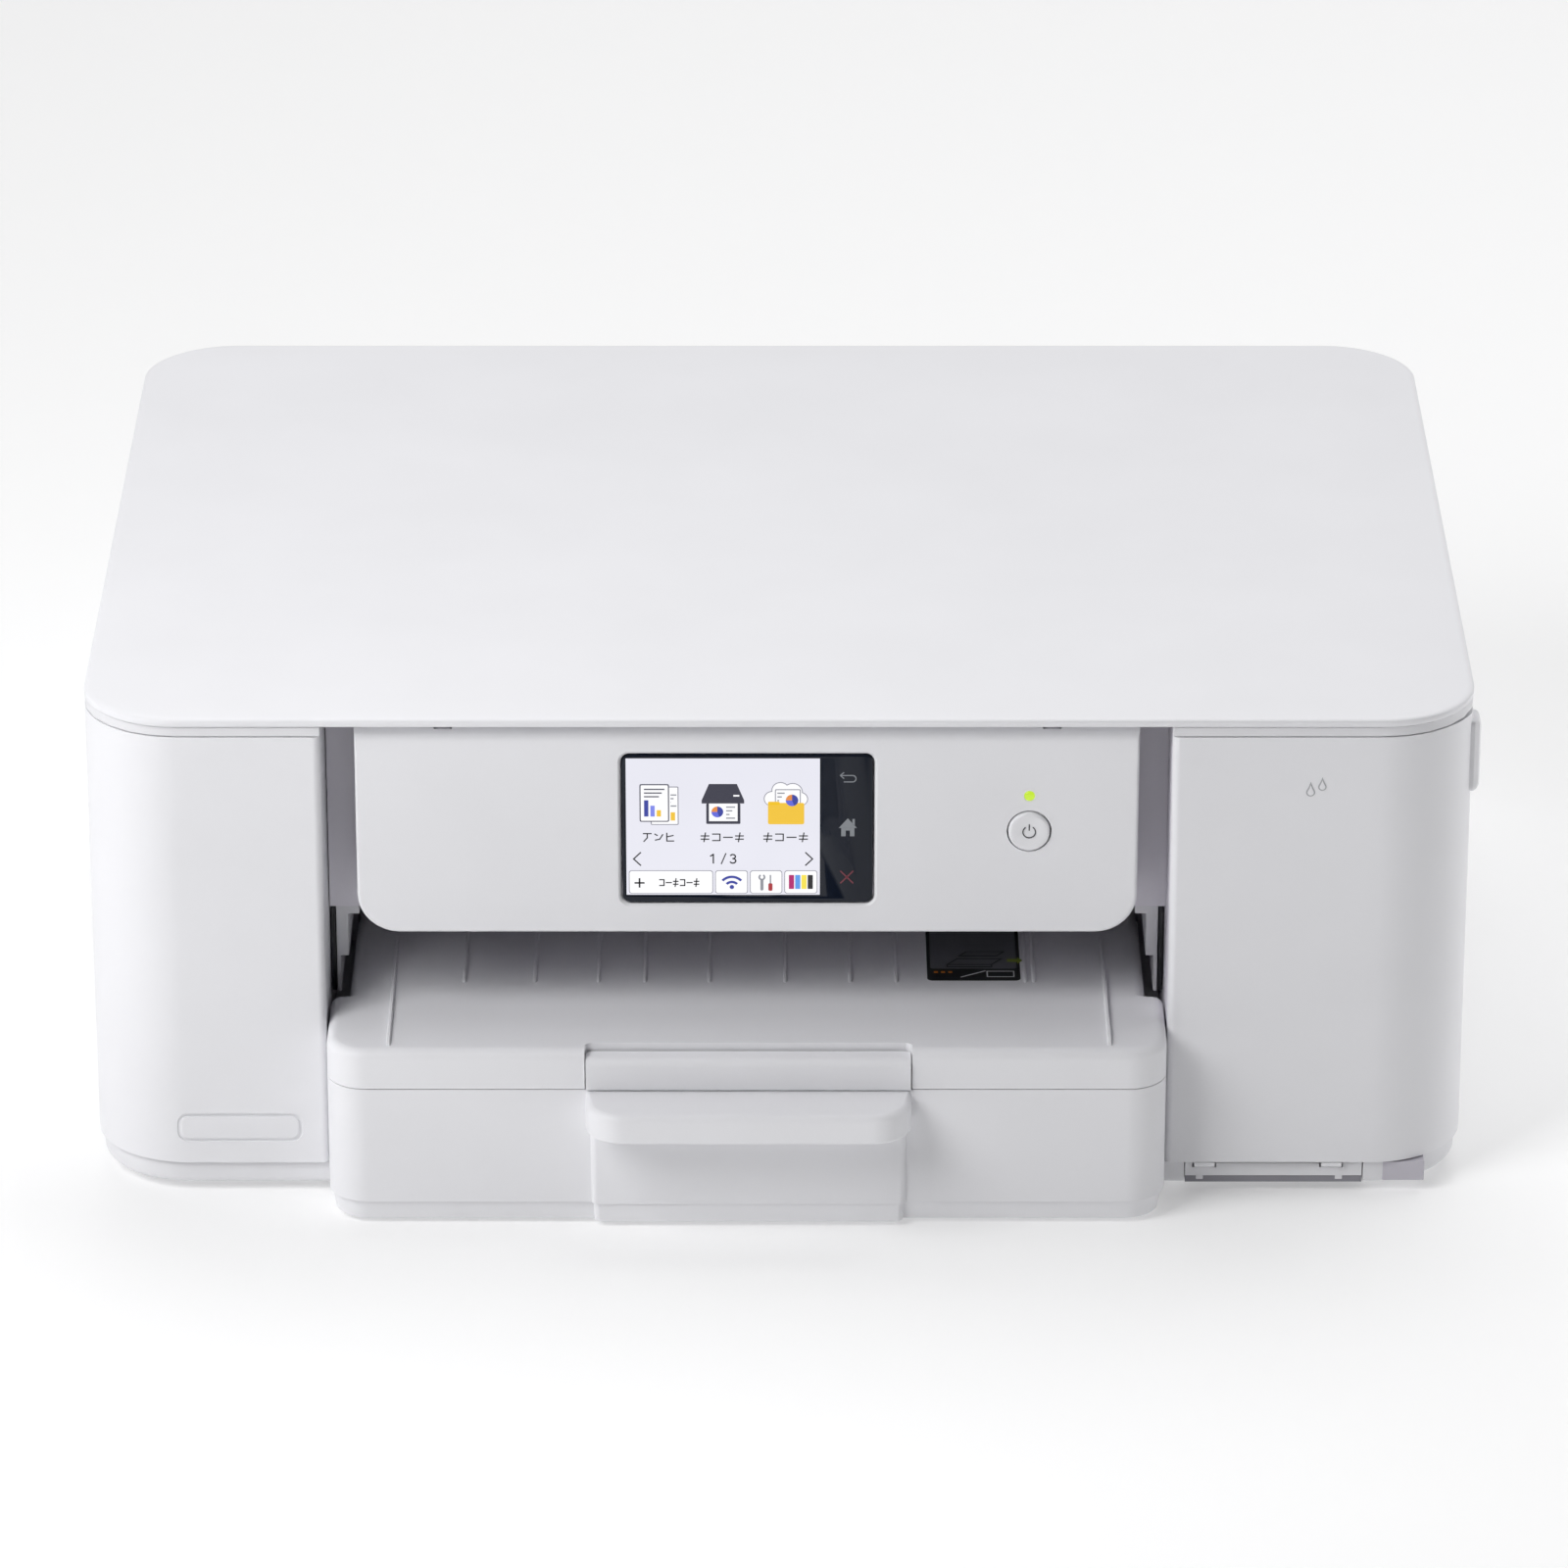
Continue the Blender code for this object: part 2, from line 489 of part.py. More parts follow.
def make_cassette(plastic, grey):
    """Paper cassette with its handle, and the guides that slide on its floor."""
    origin = (BAY_MIDDLE, CASSETTE_FRONT, CASSETTE_BOTTOM)
    left, right, back = CASSETTE_LEFT, CASSETTE_RIGHT, CASSETTE_BACK
    narrow = 2.6  # the rear part is slimmer, to pass between the rails
    shoulder = BAY_DEPTH

    def plan(inset, front):
        outline = arc(left + 6 + inset, front + 6 + inset, 6, 180, 270)
        outline += arc(right - 6 - inset, front + 6 + inset, 6, 270, 360)
        outline += [(right - inset, shoulder), (right - narrow - inset, shoulder)]
        outline += [(right - narrow - inset, back), (left + narrow + inset, back)]
        return outline + [(left + narrow + inset, shoulder), (left + inset, shoulder)]

    step_z = 7.6
    levels = ((1.6, CASSETTE_BOTTOM), (1.2, step_z), (0.0, step_z + 0.8), (0.0, CASSETTE_TOP))
    rings = [place(plan(inset, CASSETTE_FRONT), z, "Z") for inset, z in levels]
    cassette = loft("paper_cassette", rings, plastic, origin)
    bulge = [
        place(rectangle(FLAP_X[0] + d, FLAP_X[1] - d, BULGE_FRONT + d, CASSETTE_FRONT + 4), z, "Z")
        for d, z in ((1.4, CASSETTE_BOTTOM), (1.1, step_z + 0.2), (0.2, step_z + 1.1), (0.2, 36.0))
    ]
    grip = rectangle(*FLAP_X, HANDLE_FRONT, CASSETTE_FRONT + 5, 8, 0)
    handle = [
        place([(x, y + d * (y < BULGE_FRONT)) for x, y in grip], z, "Z")
        for d, z in ((1.5, 34.5), (0.0, 36.5), (0.0, 41.5), (2.0, CASSETTE_TOP - 0.2))
    ]
    flanges = [
        box("left_flange", (left + 0.1, left + narrow + 1), (shoulder + 1, back - 1), (29.3, 32)),
        box("right_flange", (right - narrow - 1, right - 0.1), (shoulder + 1, back - 1), (29.3, 32)),
    ]
    join(cassette, loft("bulge", bulge), loft("handle", handle), *flanges)
    inner = narrow + 2.5
    ears = [
        box("left_ear", (left + narrow + 0.2, left + narrow + 2.2), (-50, -40), (CASSETTE_TOP - 4, 54)),
        box("right_ear", (right - narrow - 2.2, right - narrow - 0.2), (-50, -40), (CASSETTE_TOP - 4, 54)),
    ]
    cut(
        cassette,
        box("paper_room", (left + inner, right - inner), (CASSETTE_FRONT + 3, back - 2.5), (4.2, 60)),
        box("rear_notch", (-34, 16), (back - 10, back + 5), (11, 60)),
    )
    join(cassette, *ears)

    def guide(name, x, y, foot, wall):
        piece = box(name, *foot, (4.5, 6.5), grey, (x, y, 4.5))
        join(piece, box("upright", *wall, (5.5, 36)))
        attach(piece, cassette)

    x0, x1 = BAY_MIDDLE - 107.0, BAY_MIDDLE + 107.0
    guide("width_guide_left", x0, 10, ((x0 - 8, x0), (-20, 45)), ((x0 - 2.5, x0), (-20, 45)))
    guide("width_guide_right", x1, 10, ((x1, x1 + 8), (-20, 45)), ((x1, x1 + 2.5), (-20, 45)))
    y1 = CASSETTE_FRONT + 8
    guide("length_guide", BAY_MIDDLE, y1, ((-30, 12), (y1 - 4, y1)), ((-30, 12), (y1 - 2.5, y1)))
    return cassette


def make_output_tray(plastic, cassette):
    """Tray that covers the cassette, with a pull-out support and the flap that stops the sheets."""
    hinge_y, hinge_z = COVER_HINGE
    left, right, front = CASSETTE_LEFT, CASSETTE_RIGHT, CASSETTE_FRONT
    wide_back, slim = -116.0, 5.2

    def plan(inset):
        outline = arc(left + 8, front + 8, 8 - inset, 180, 270)
        outline += arc(right - 8, front + 8, 8 - inset, 270, 360)
        outline += [(right - inset, wide_back), (right - slim - inset, wide_back + 1)]
        outline += [(right - slim - inset, hinge_y), (left + slim + inset, hinge_y)]
        return outline + [(left + slim + inset, wide_back + 1), (left + inset, wide_back)]

    levels = ((0.0, COVER_BOTTOM), (0.0, COVER_TOP - 2.6), (0.7, COVER_TOP - 0.8), (2.6, COVER_TOP))
    rings = [place(plan(inset), z, "Z") for inset, z in levels]
    tray = loft("output_tray", rings, plastic, (BAY_MIDDLE, hinge_y, hinge_z))
    skin = COVER_TOP - 3.0
    x0, x1 = FLAP_X
    cut(
        tray,
        box("underside", (left + 8, right - 8), (front + 3, -20), (COVER_BOTTOM - 1, skin)),
        box("flap_way", (x0 - GAP, x1 + GAP), (front - 5, -147.0), (30, 70)),
        box("ear_way", (left - 1, left + slim + 0.8), (-60, -30), (30, 70)),
        box("ear_way", (right - slim - 0.8, right + 1), (-60, -30), (30, 70)),
    )
    barrel = prism("barrel", circle(hinge_y, hinge_z, 2.6, 16), (left + slim + 1, right - slim - 1), "X")
    runners = [
        box("runner", (SUPPORT_X[0] - 2.5, SUPPORT_X[0] - 0.5), (-146, -50), (47, skin + 1)),
        box("runner", (SUPPORT_X[1] + 0.5, SUPPORT_X[1] + 2.5), (-146, -50), (47, skin + 1)),
    ]
    join(tray, barrel, *runners)
    flap_back, flap_top = -147.6, 53.4
    support_origin = (BAY_MIDDLE, flap_back, 50.5)
    support = box("paper_support", SUPPORT_X, (flap_back + GAP, -54), (49.3, 51.7), plastic, support_origin)
    face = CASSETTE_FRONT - 0.8
    outline = [(flap_back, CASSETTE_TOP + GAP), (flap_back, flap_top)]
    outline += arc(face + 2.5, flap_top - 2.5, 2.5, 90, 180, 4) + [(face, CASSETTE_TOP + GAP)]
    flap = prism("stopper_flap", outline, FLAP_X, "X", plastic, (BAY_MIDDLE, flap_back, flap_top))
    attach(tray, cassette)
    attach(support, tray)
    attach(flap, support)


def make_ink_system(plastic, dark, inks):
    """Ink door that wraps the tower's corner, the bay behind it and four cartridges."""
    axis_y, axis_z = DOOR_AXIS
    outer, inner = HALF_WIDTH, HALF_WIDTH - WALL
    bend = BODY_FRONT + CORNER
    outline = [(BAY_RIGHT, BODY_FRONT)] + arc(outer - CORNER, bend, CORNER, 270, 360)
    outline += [(outer, DOOR_BACK), (inner, DOOR_BACK)]
    outline += arc(outer - CORNER, bend, CORNER - WALL, 360, 270) + [(BAY_RIGHT, BODY_FRONT + WALL)]
    door = prism("ink_door", outline, (SKIRT_TOP + GAP, SHELL_TOP), "Z", plastic, (156, axis_y, axis_z))
    tab = [
        place(rectangle(outer - 1.5, outer + reach, -112, -101.5), z, "Z")
        for reach, z in ((0.4, 119.0), (2.2, 121.0), (2.2, 139.0), (0.8, 141.0))
    ]
    knuckles = [
        prism("knuckle", rectangle(axis_y - 1.4, axis_y + 1.4, axis_z - 1.6, axis_z + 2, 1.2, 0), span, "X")
        for span in ((121, 127), (158, 164))
    ]
    join(door, loft("tab", tab), *knuckles)
    reach = prism("reach", circle(axis_y, axis_z, DOOR_REACH, 96), (100, 210), "X")
    combine(door, "INTERSECT", [reach])

    x0, x1 = BAY_RIGHT + 4, HALF_WIDTH - 5.5
    bay = box("ink_bay", (x0, x1), (-97, -36), (12, 113), dark)
    cut(bay, box("ink_room", (x0 + 2, x1 - 2), (-110, -38.5), (16, 108)))
    for index, (name, ink) in enumerate(zip(INKS, inks)):
        start = CARTRIDGE_START + index * CARTRIDGE_PITCH
        side = [(-95, 17), (-40, 17), (-40, 100), (-52, 106), (-88, 106), (-95, 100)]
        span = (start, start + CARTRIDGE_WIDTH)
        cartridge = prism("ink_cartridge_" + name, side, span, "X", ink, (start, -95, 60))
        cut(cartridge, box("finger_dip", (start + 3, start + CARTRIDGE_WIDTH - 3), (-100, -92), (60, 80)))


def make_inner_units(board, metal, dark, foam, plastic, socket):
    """Electronics, cap station, waste ink pad, ports and the rear jam cover."""
    main = box("main_board", (-194.5, -192.9), (20, 140), (20, 108), board)
    chips = ((40, 60, 50, 70), (75, 95, 40, 62), (105, 125, 70, 95), (40, 55, 82, 96))
    join(main, *[box("chip", (-193.5, -190.5), (a, b), (c, d)) for a, b, c, d in chips])
    box("power_supply", (128, 188), (64, 150), (11, 54), metal)
    station = box("purge_unit", (119, 190), (-12, 46), (11, 66), dark)
    join(station, box("cap", (125, 165), (2, 34), (65, 73)))
    box("waste_ink_pad", (119, 190), (-33, -15), (11, 50), foam)
    inlet = box("ac_inlet", (148, 176), (152, BACK), (21, 41), socket)
    cut(inlet, prism("inlet_well", rectangle(152, 172, 25, 37, 5), (156, 180), "Y"))
    join(inlet, *[box("blade", (x - 1, x + 1), (150, 166), (29, 33)) for x in (157, 167)])
    ports = box("io_ports", (-168, -136), (154, BACK), (20, 38), socket)
    wells = [box("well", (-165, -153), (158, 180), (24, 34)), box("well", (-149, -139), (158, 180), (24, 34))]
    cut(ports, *wells)
    hinge = (BAY_MIDDLE, BACK, JAM_Z[0])
    jam = box("rear_jam_cover", JAM_X, (BACK - WALL, BACK), JAM_Z, plastic, hinge)
    guide = [(BACK - 8, 72), (BACK - 2, 68), (BACK - 2, 136), (BACK - 8, 132), (BACK - 12, 102)]
    guides = [prism("guide", guide, (x, x + 2), "X") for x in range(-110, 100, 30)]
    join(jam, *guides)


def main():
    for old in list(bpy.data.objects):
        bpy.data.objects.remove(old)
    white = material("white_moulded_abs", "EDEDEF", 0.45)
    light_grey = material("light_grey_abs", "D6D6D8", 0.48)
    frame_grey = material("inner_grey_abs", "B9B8BD", 0.5)
    dark = material("black_engineering_plastic", "2A2C31", 0.5)
    steel = material("bright_steel", "B9BCC0", 0.3, 1.0)
    metal = material("zinc_plated_sheet", "A8ABAE", 0.4, 1.0)
    rubber = material("black_rubber", "232324", 0.8)
    gear_plastic = material("white_acetal", "E6E4DC", 0.4)
    foam = material("white_foam", "F2F2F0", 0.9)
    board = material("green_circuit_board", "2C6B45", 0.5)
    display = material("smoked_display_window", "26292F", 0.15)
    lens = material("green_light_pipe", "C9E24A", 0.2)
    glass = material("clear_glass", "DDE6E6", 0.05)
    belt = material("black_toothed_belt", "1F1F20", 0.7)
    inks = [
        material("ink_case_" + name, colour, 0.4)
        for name, colour in zip(INKS, ("2B2B2D", "2B6FC2", "B0257B", "E3C02B"))
    ]
    make_base(light_grey)
    make_covers(white)
    make_front_frame(frame_grey)
    make_feet(rubber)
    make_scanner(white, glass, dark, steel, white, foam)
    make_panel(light_grey, display, light_grey, lens)
    make_print_engine(metal, dark, steel, rubber, gear_plastic, frame_grey, belt)
    cassette = make_cassette(light_grey, frame_grey)
    make_output_tray(light_grey, cassette)
    make_ink_system(white, dark, inks)
    make_inner_units(board, metal, dark, foam, light_grey, dark)


main()
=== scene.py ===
"""The looks of a flat three-in-one inkjet printer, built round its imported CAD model.

Lengths are in millimetres, as box_mm() gives them from the frame, and MM turns them into metres when a
mesh is made. +X is to the right seen from the front, +Y to the back and +Z up.
"""

import json
import math

import bmesh
import bpy
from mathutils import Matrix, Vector


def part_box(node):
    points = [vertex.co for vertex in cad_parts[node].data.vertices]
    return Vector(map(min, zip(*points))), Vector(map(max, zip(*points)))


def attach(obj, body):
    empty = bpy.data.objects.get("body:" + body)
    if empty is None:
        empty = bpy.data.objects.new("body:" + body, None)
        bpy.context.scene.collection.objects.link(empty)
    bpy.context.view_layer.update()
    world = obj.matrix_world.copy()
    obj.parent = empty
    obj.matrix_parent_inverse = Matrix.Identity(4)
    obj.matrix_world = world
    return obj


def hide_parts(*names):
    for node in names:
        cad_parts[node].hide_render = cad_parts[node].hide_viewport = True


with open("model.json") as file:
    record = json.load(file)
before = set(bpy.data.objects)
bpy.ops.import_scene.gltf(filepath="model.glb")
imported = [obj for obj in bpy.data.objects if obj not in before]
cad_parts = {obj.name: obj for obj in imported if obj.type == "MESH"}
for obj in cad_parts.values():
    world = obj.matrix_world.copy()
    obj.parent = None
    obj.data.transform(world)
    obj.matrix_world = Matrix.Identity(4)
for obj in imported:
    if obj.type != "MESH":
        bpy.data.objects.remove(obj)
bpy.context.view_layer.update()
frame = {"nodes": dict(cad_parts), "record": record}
MM = 0.001
GAP = 0.3  # clearance between casing pieces


def box_mm(node):
    """A CAD node's lowest and highest corners, in millimetres."""
    low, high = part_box(node)
    return low / MM, high / MM


LID_LOW, LID_HIGH = box_mm("document_lid")
PANEL_LOW, PANEL_HIGH = box_mm("control_panel")
DISPLAY_LOW, DISPLAY_HIGH = box_mm("display_module")
BUTTON_LOW, BUTTON_HIGH = box_mm("power_button")
LIGHT_LOW, LIGHT_HIGH = box_mm("power_light")
LEFT_LOW, LEFT_HIGH = box_mm("left_cover")
DOOR_LOW, DOOR_HIGH = box_mm("ink_door")
TRAY_LOW = box_mm("output_tray")[0]
FLAP_LOW, FLAP_HIGH = box_mm("stopper_flap")
SUPPORT_LOW, SUPPORT_HIGH = box_mm("paper_support")
CASSETTE_LOW, CASSETTE_HIGH = box_mm("paper_cassette")
BACK_LOW, BACK_HIGH = box_mm("rear_cover")
JAM_LOW, JAM_HIGH = box_mm("rear_jam_cover")
PAD_LOW, PAD_HIGH = box_mm("lid_pad")

HALF_WIDTH = -LEFT_LOW.x
BODY_FRONT = LEFT_LOW.y
BACK = BACK_HIGH.y
SHELL_TOP = LEFT_HIGH.z
SHELL_BOTTOM = LEFT_LOW.z
BAY_LEFT, BAY_RIGHT = LEFT_HIGH.x, DOOR_LOW.x
BAY_MIDDLE = (BAY_LEFT + BAY_RIGHT) / 2
CORNER = 28.0  # plan radius of the casing's corners
WALL = 2.4
FINE = 24  # steps round a large corner
EDGE_ROUND = 2.2  # upright edges of the towers beside the bay


# ---------------------------------------------------------------- materials

MOTTLE = 45.0  # the size of the faint cloudiness in moulded plastic
MIDDLE = {"From Min": 0.3, "From Max": 0.7}  # the range that most of a noise lies in
# A colour mix's sockets by number, since others share their names
MIX_SHARE, MIX_A, MIX_B, MIX_RESULT = 0, 6, 7, 2


def linear(hex_colour):
    """An sRGB hex colour as the linear RGBA that shaders take."""
    channels = [int(hex_colour[i : i + 2], 16) / 255 for i in (0, 2, 4)]
    return (*[c / 12.92 if c <= 0.04045 else ((c + 0.055) / 1.055) ** 2.4 for c in channels], 1.0)


def add_node(tree, kind, inputs=None, **settings):
    """Adds a node with its settings, and sets each input or links it to a socket."""
    made = tree.nodes.new(kind)
    for key, value in settings.items():
        setattr(made, key, value)
    for key, value in (inputs or {}).items():
        if isinstance(value, bpy.types.NodeSocket):
            tree.links.new(value, made.inputs[key])
        else:
            made.inputs[key].default_value = value
    return made


def new_material(name, **shader_inputs):
    """A material with these shader inputs: (material, its tree, its shader, Object coordinates)."""
    made = bpy.data.materials.new(name)
    made.use_nodes = True
    tree = made.node_tree
    shader = tree.nodes["Principled BSDF"]
    for key, value in shader_inputs.items():
        shader.inputs[key.replace("_", " ")].default_value = value
    return made, tree, shader, add_node(tree, "ShaderNodeTexCoord").outputs["Object"]


def moulded(name, colour, roughness, grain=0.9, depth=0.006, ior=1.53, tint=0.012, **more):
    """Moulded plastic or rubber: a fine grain that scatters the highlight, and a faint mottling."""
    made, tree, shader, here = new_material(name, Base_Color=linear(colour), IOR=ior, **more)
    inputs = {"Vector": here, "Scale": 1 / (grain * MM), "Detail": 3.0}
    fine = add_node(tree, "ShaderNodeTexNoise", inputs).outputs["Fac"]
    inputs = {"Vector": here, "Scale": 1 / (MOTTLE * MM), "Detail": 2.0}
    broad = add_node(tree, "ShaderNodeTexNoise", inputs).outputs["Fac"]
    inputs = {**MIDDLE, "Value": broad, "To Min": 0.0, "To Max": 1.0}
    share = add_node(tree, "ShaderNodeMapRange", inputs).outputs["Result"]
    deep = [c * (1 - tint) for c in linear(colour)[:3]] + [1.0]
    pale = [min(1.0, c * (1 + tint)) for c in linear(colour)[:3]] + [1.0]
    mix = add_node(tree, "ShaderNodeMix", {MIX_SHARE: share, MIX_A: deep, MIX_B: pale}, data_type="RGBA")
    inputs = {**MIDDLE, "Value": fine, "To Min": roughness - 0.04, "To Max": roughness + 0.04}
    spread = add_node(tree, "ShaderNodeMapRange", inputs)
    bump = add_node(tree, "ShaderNodeBump", {"Height": fine, "Distance": depth * MM, "Strength": 0.6})
    tree.links.new(mix.outputs[MIX_RESULT], shader.inputs["Base Color"])
    tree.links.new(spread.outputs["Result"], shader.inputs["Roughness"])
    tree.links.new(bump.outputs["Normal"], shader.inputs["Normal"])
    return made


def polished(name, colour, roughness, ior=1.49, **more):
    """Smooth glossy moulding or film: a clean reflection, broken only by very slight waviness."""
    made, tree, shader, here = new_material(name, Base_Color=linear(colour), IOR=ior, **more)
    inputs = {"Vector": here, "Scale": 1 / (14.0 * MM), "Detail": 1.0}
    wave = add_node(tree, "ShaderNodeTexNoise", inputs).outputs["Fac"]
    inputs = {**MIDDLE, "Value": wave, "To Min": roughness * 0.85, "To Max": roughness * 1.15}
    spread = add_node(tree, "ShaderNodeMapRange", inputs)
    bump = add_node(tree, "ShaderNodeBump", {"Height": wave, "Distance": 0.01 * MM, "Strength": 0.4})
    tree.links.new(spread.outputs["Result"], shader.inputs["Roughness"])
    tree.links.new(bump.outputs["Normal"], shader.inputs["Normal"])
    return made


def rolled_metal(name, colour, roughness):
    """Sheet or turned steel: fine lines across X, the way it was rolled or turned."""
    made, tree, shader, here = new_material(name, Base_Color=linear(colour), Metallic=1.0)
    lines = add_node(tree, "ShaderNodeMapping", {"Vector": here, "Scale": (0.04, 1.0, 1.0)})
    inputs = {"Vector": lines.outputs["Vector"], "Scale": 1 / (0.6 * MM), "Detail": 3.0}
    noise = add_node(tree, "ShaderNodeTexNoise", inputs).outputs["Fac"]
    inputs = {**MIDDLE, "Value": noise, "To Min": roughness - 0.08, "To Max": roughness + 0.1}
    spread = add_node(tree, "ShaderNodeMapRange", inputs)
    bump = add_node(tree, "ShaderNodeBump", {"Height": noise, "Distance": 0.008 * MM, "Strength": 0.5})
    tree.links.new(spread.outputs["Result"], shader.inputs["Roughness"])
    tree.links.new(bump.outputs["Normal"], shader.inputs["Normal"])
    return made


def spangled(name, colour):
    """Zinc-plated sheet: a patchwork of 4.5 mm crystals that each catch the light a little differently."""
    made, tree, shader, here = new_material(name, Metallic=1.0)
    cells = add_node(tree, "ShaderNodeTexVoronoi", {"Vector": here, "Scale": 1 / (4.5 * MM)})
    grey = add_node(tree, "ShaderNodeRGBToBW", {"Color": cells.outputs["Color"]}).outputs["Val"]
    dull = [c * 0.82 for c in linear(colour)[:3]] + [1.0]
    inputs = {MIX_SHARE: grey, MIX_A: dull, MIX_B: linear(colour)}
    mix = add_node(tree, "ShaderNodeMix", inputs, data_type="RGBA")
    inputs = {**MIDDLE, "Value": grey, "To Min": 0.3, "To Max": 0.45}
    spread = add_node(tree, "ShaderNodeMapRange", inputs)
    tree.links.new(mix.outputs[MIX_RESULT], shader.inputs["Base Color"])
    tree.links.new(spread.outputs["Result"], shader.inputs["Roughness"])
    return made


def lit(name, colour, strength=1.0):
    """Part of a backlit picture: its own light, with the slight unevenness of a backlight."""
    made, tree, shader, here = new_material(name, Base_Color=(0.0, 0.0, 0.0, 1.0), Roughness=0.25)
    shader.inputs["Emission Color"].default_value = linear(colour)
    inputs = {"Vector": here, "Scale": 1 / (30.0 * MM), "Detail": 1.0}
    glow = add_node(tree, "ShaderNodeTexNoise", inputs).outputs["Fac"]
    inputs = {**MIDDLE, "Value": glow, "To Min": strength * 0.985, "To Max": strength * 1.015}
    level = add_node(tree, "ShaderNodeMapRange", inputs)
    tree.links.new(level.outputs["Result"], shader.inputs["Emission Strength"])
    return made


def clear_pane(name, colour):
    """Float glass: clear, with the faint green of its edge."""
    made, tree, shader, here = new_material(
        name, Base_Color=linear(colour), IOR=1.52, Transmission_Weight=1.0
    )
    inputs = {"Vector": here, "Scale": 1 / (60.0 * MM), "Detail": 0.0}
    wave = add_node(tree, "ShaderNodeTexNoise", inputs).outputs["Fac"]
    inputs = {**MIDDLE, "Value": wave, "To Min": 0.0, "To Max": 0.015}
    spread = add_node(tree, "ShaderNodeMapRange", inputs)
    tree.links.new(spread.outputs["Result"], shader.inputs["Roughness"])
    return made


def foam(name, colour):
    """Open-cell foam or felt: soft 1.1 mm pits all over, with no shine."""
    made, tree, shader, here = new_material(name, Base_Color=linear(colour), Roughness=0.95)
    shader.inputs["Specular IOR Level"].default_value = 0.2
    cells = add_node(tree, "ShaderNodeTexVoronoi", {"Vector": here, "Scale": 1 / (1.1 * MM)})
    inputs = {"Height": cells.outputs["Distance"], "Distance": 0.25 * MM, "Strength": 0.7}
    bump = add_node(tree, "ShaderNodeBump", inputs)
    tree.links.new(bump.outputs["Normal"], shader.inputs["Normal"])
    return made


# The real grain is about 0.1 mm everywhere, and each grain below is drawn coarser so that it shows.
# Spark-eroded ABS of the outer casing: bright, cool white with a soft, broad sheen
WHITE = moulded("white_abs_fine_grain", "ECECEF", 0.46)
# The same ABS a shade greyer: tells the rim, guides and rear door from the casing
GREY_WHITE = moulded("grey_white_abs_fine_grain", "E2E2E5", 0.5)
# Coarser, greyer ABS of inside parts, its grey and violet tint partly painted shade behind the white; on
# the corner block its grey is all painted shade
INNER_AND_SHADE = moulded("inner_grey_abs", "C6C3CC", 0.55)
# Matt ABS of the bay's frame, a little greyer and more violet than the casing: partly its own tone, partly
# painted shade where the panel stands in front of it
RECESS = moulded("bay_wall_grey_abs", "E4E1E9", 0.55)
# Dark matt ABS at the back of the hinge recess, its grey painted shade for the dark line under the door
RECESS_SHADE_GREY = moulded("recess_grey_abs", "8C8B92", 0.6)
# Slightly rougher ABS of the base: the foot ends a little duller than the casing
BASE = moulded("base_white_abs", "E6E6E9", 0.52)
# Matt black ABS of the mechanism: near black, with a grey bloom where light grazes it
BLACK = moulded("black_abs_matt", "25272B", 0.5, grain=1.2, depth=0.012, tint=0.05)
# Unpainted acetal of gears and pulleys: warm, waxy white with a tighter highlight
ACETAL = moulded("natural_acetal", "E6E4DC", 0.35, depth=0.002, ior=1.48)
# Moulded rubber of the feet: dark and dull all round
FOOT = moulded("black_foot_rubber", "222224", 0.85, grain=0.7, depth=0.02, tint=0.06)
# Ground rubber of the rollers: a fine velvety dark grey
ROLLER = moulded("ground_roller_rubber", "2B2B2D", 0.8, grain=0.35, depth=0.03, tint=0.05)
# Rubber of the toothed belt: black, a touch smoother than the rollers
BELT = moulded("toothed_belt_rubber", "1F1F20", 0.75, grain=0.5, depth=0.02, tint=0.05)
# Smoked acrylic over the display: blue-black and glossy, and it mirrors the room faintly
WINDOW = polished("smoked_display_window", "0A1220", 0.12, ior=1.36)
# Pad-printed ink: flat dark grey with no relief
MARKING = moulded("dark_grey_pad_print", "46474B", 0.6, depth=0.001)
# Pale grey painted shade round the embossed ink drops, in place of the shading of their raised edges: the
# drops hardly stand out from the door
EMBOSS_SHADE = moulded("faint_grey_marking", "B4B4B8", 0.55, depth=0.001)
# Zinc-plated steel sheet: a patchwork of dull and bright crystals
SHEET = spangled("zinc_plated_sheet", "B4B8BC")
# Turned steel of shafts and screws: bright, with fine lines
STEEL = rolled_metal("bright_turned_steel", "C2C4C8", 0.28)
# Float glass of the scanning window: clear, faintly green
GLASS = clear_pane("scanner_float_glass", "E9F2EE")
# Polyurethane foam that presses the sheet down: soft, white and pitted
FOAM = foam("white_pressing_foam", "F0F0EE")
# Needled felt that soaks up waste ink: warm off-white, no shine
PAD_FELT = foam("waste_ink_felt", "DAD8D0")
# Lacquered glass-fibre board: dark green with a semi-gloss skin
BOARD = polished("green_solder_mask", "1F5C3A", 0.35)
# Clear film of the carriage's position strip: grey and glossy
STRIP_FILM = polished("position_strip_film", "8F9498", 0.2)
# Lit acrylic light pipe: an even yellow-green glow
LENS = lit("power_light_glow", "C6E83A")
# Polypropylene ink cases: saturated colours with a soft sheen
INK_CASES = {
    "black": moulded("black_ink_case", "2A2A2C", 0.45),
    "cyan": moulded("blue_ink_case", "2A6FC4", 0.45),
    "magenta": moulded("magenta_ink_case", "B3257C", 0.45),
    "yellow": moulded("yellow_ink_case", "E5C22C", 0.45),
}
# Printed vinyl of the tray's sticker and the cartridges' labels: flat colours, slightly glossy
LABEL_COLOURS = {
    "black": moulded("sticker_black_print", "1B1B1D", 0.35, depth=0.0005),
    "grey": moulded("sticker_grey_print", "6F7075", 0.4, depth=0.0005),
    "white": moulded("sticker_white_print", "E8E8EA", 0.4, depth=0.0005),
    "orange": moulded("sticker_orange_print", "D9822B", 0.4, depth=0.0005),
    "olive": moulded("sticker_olive_print", "8E9A3A", 0.4, depth=0.0005),
}


# ---------------------------------------------------------------- mesh tools


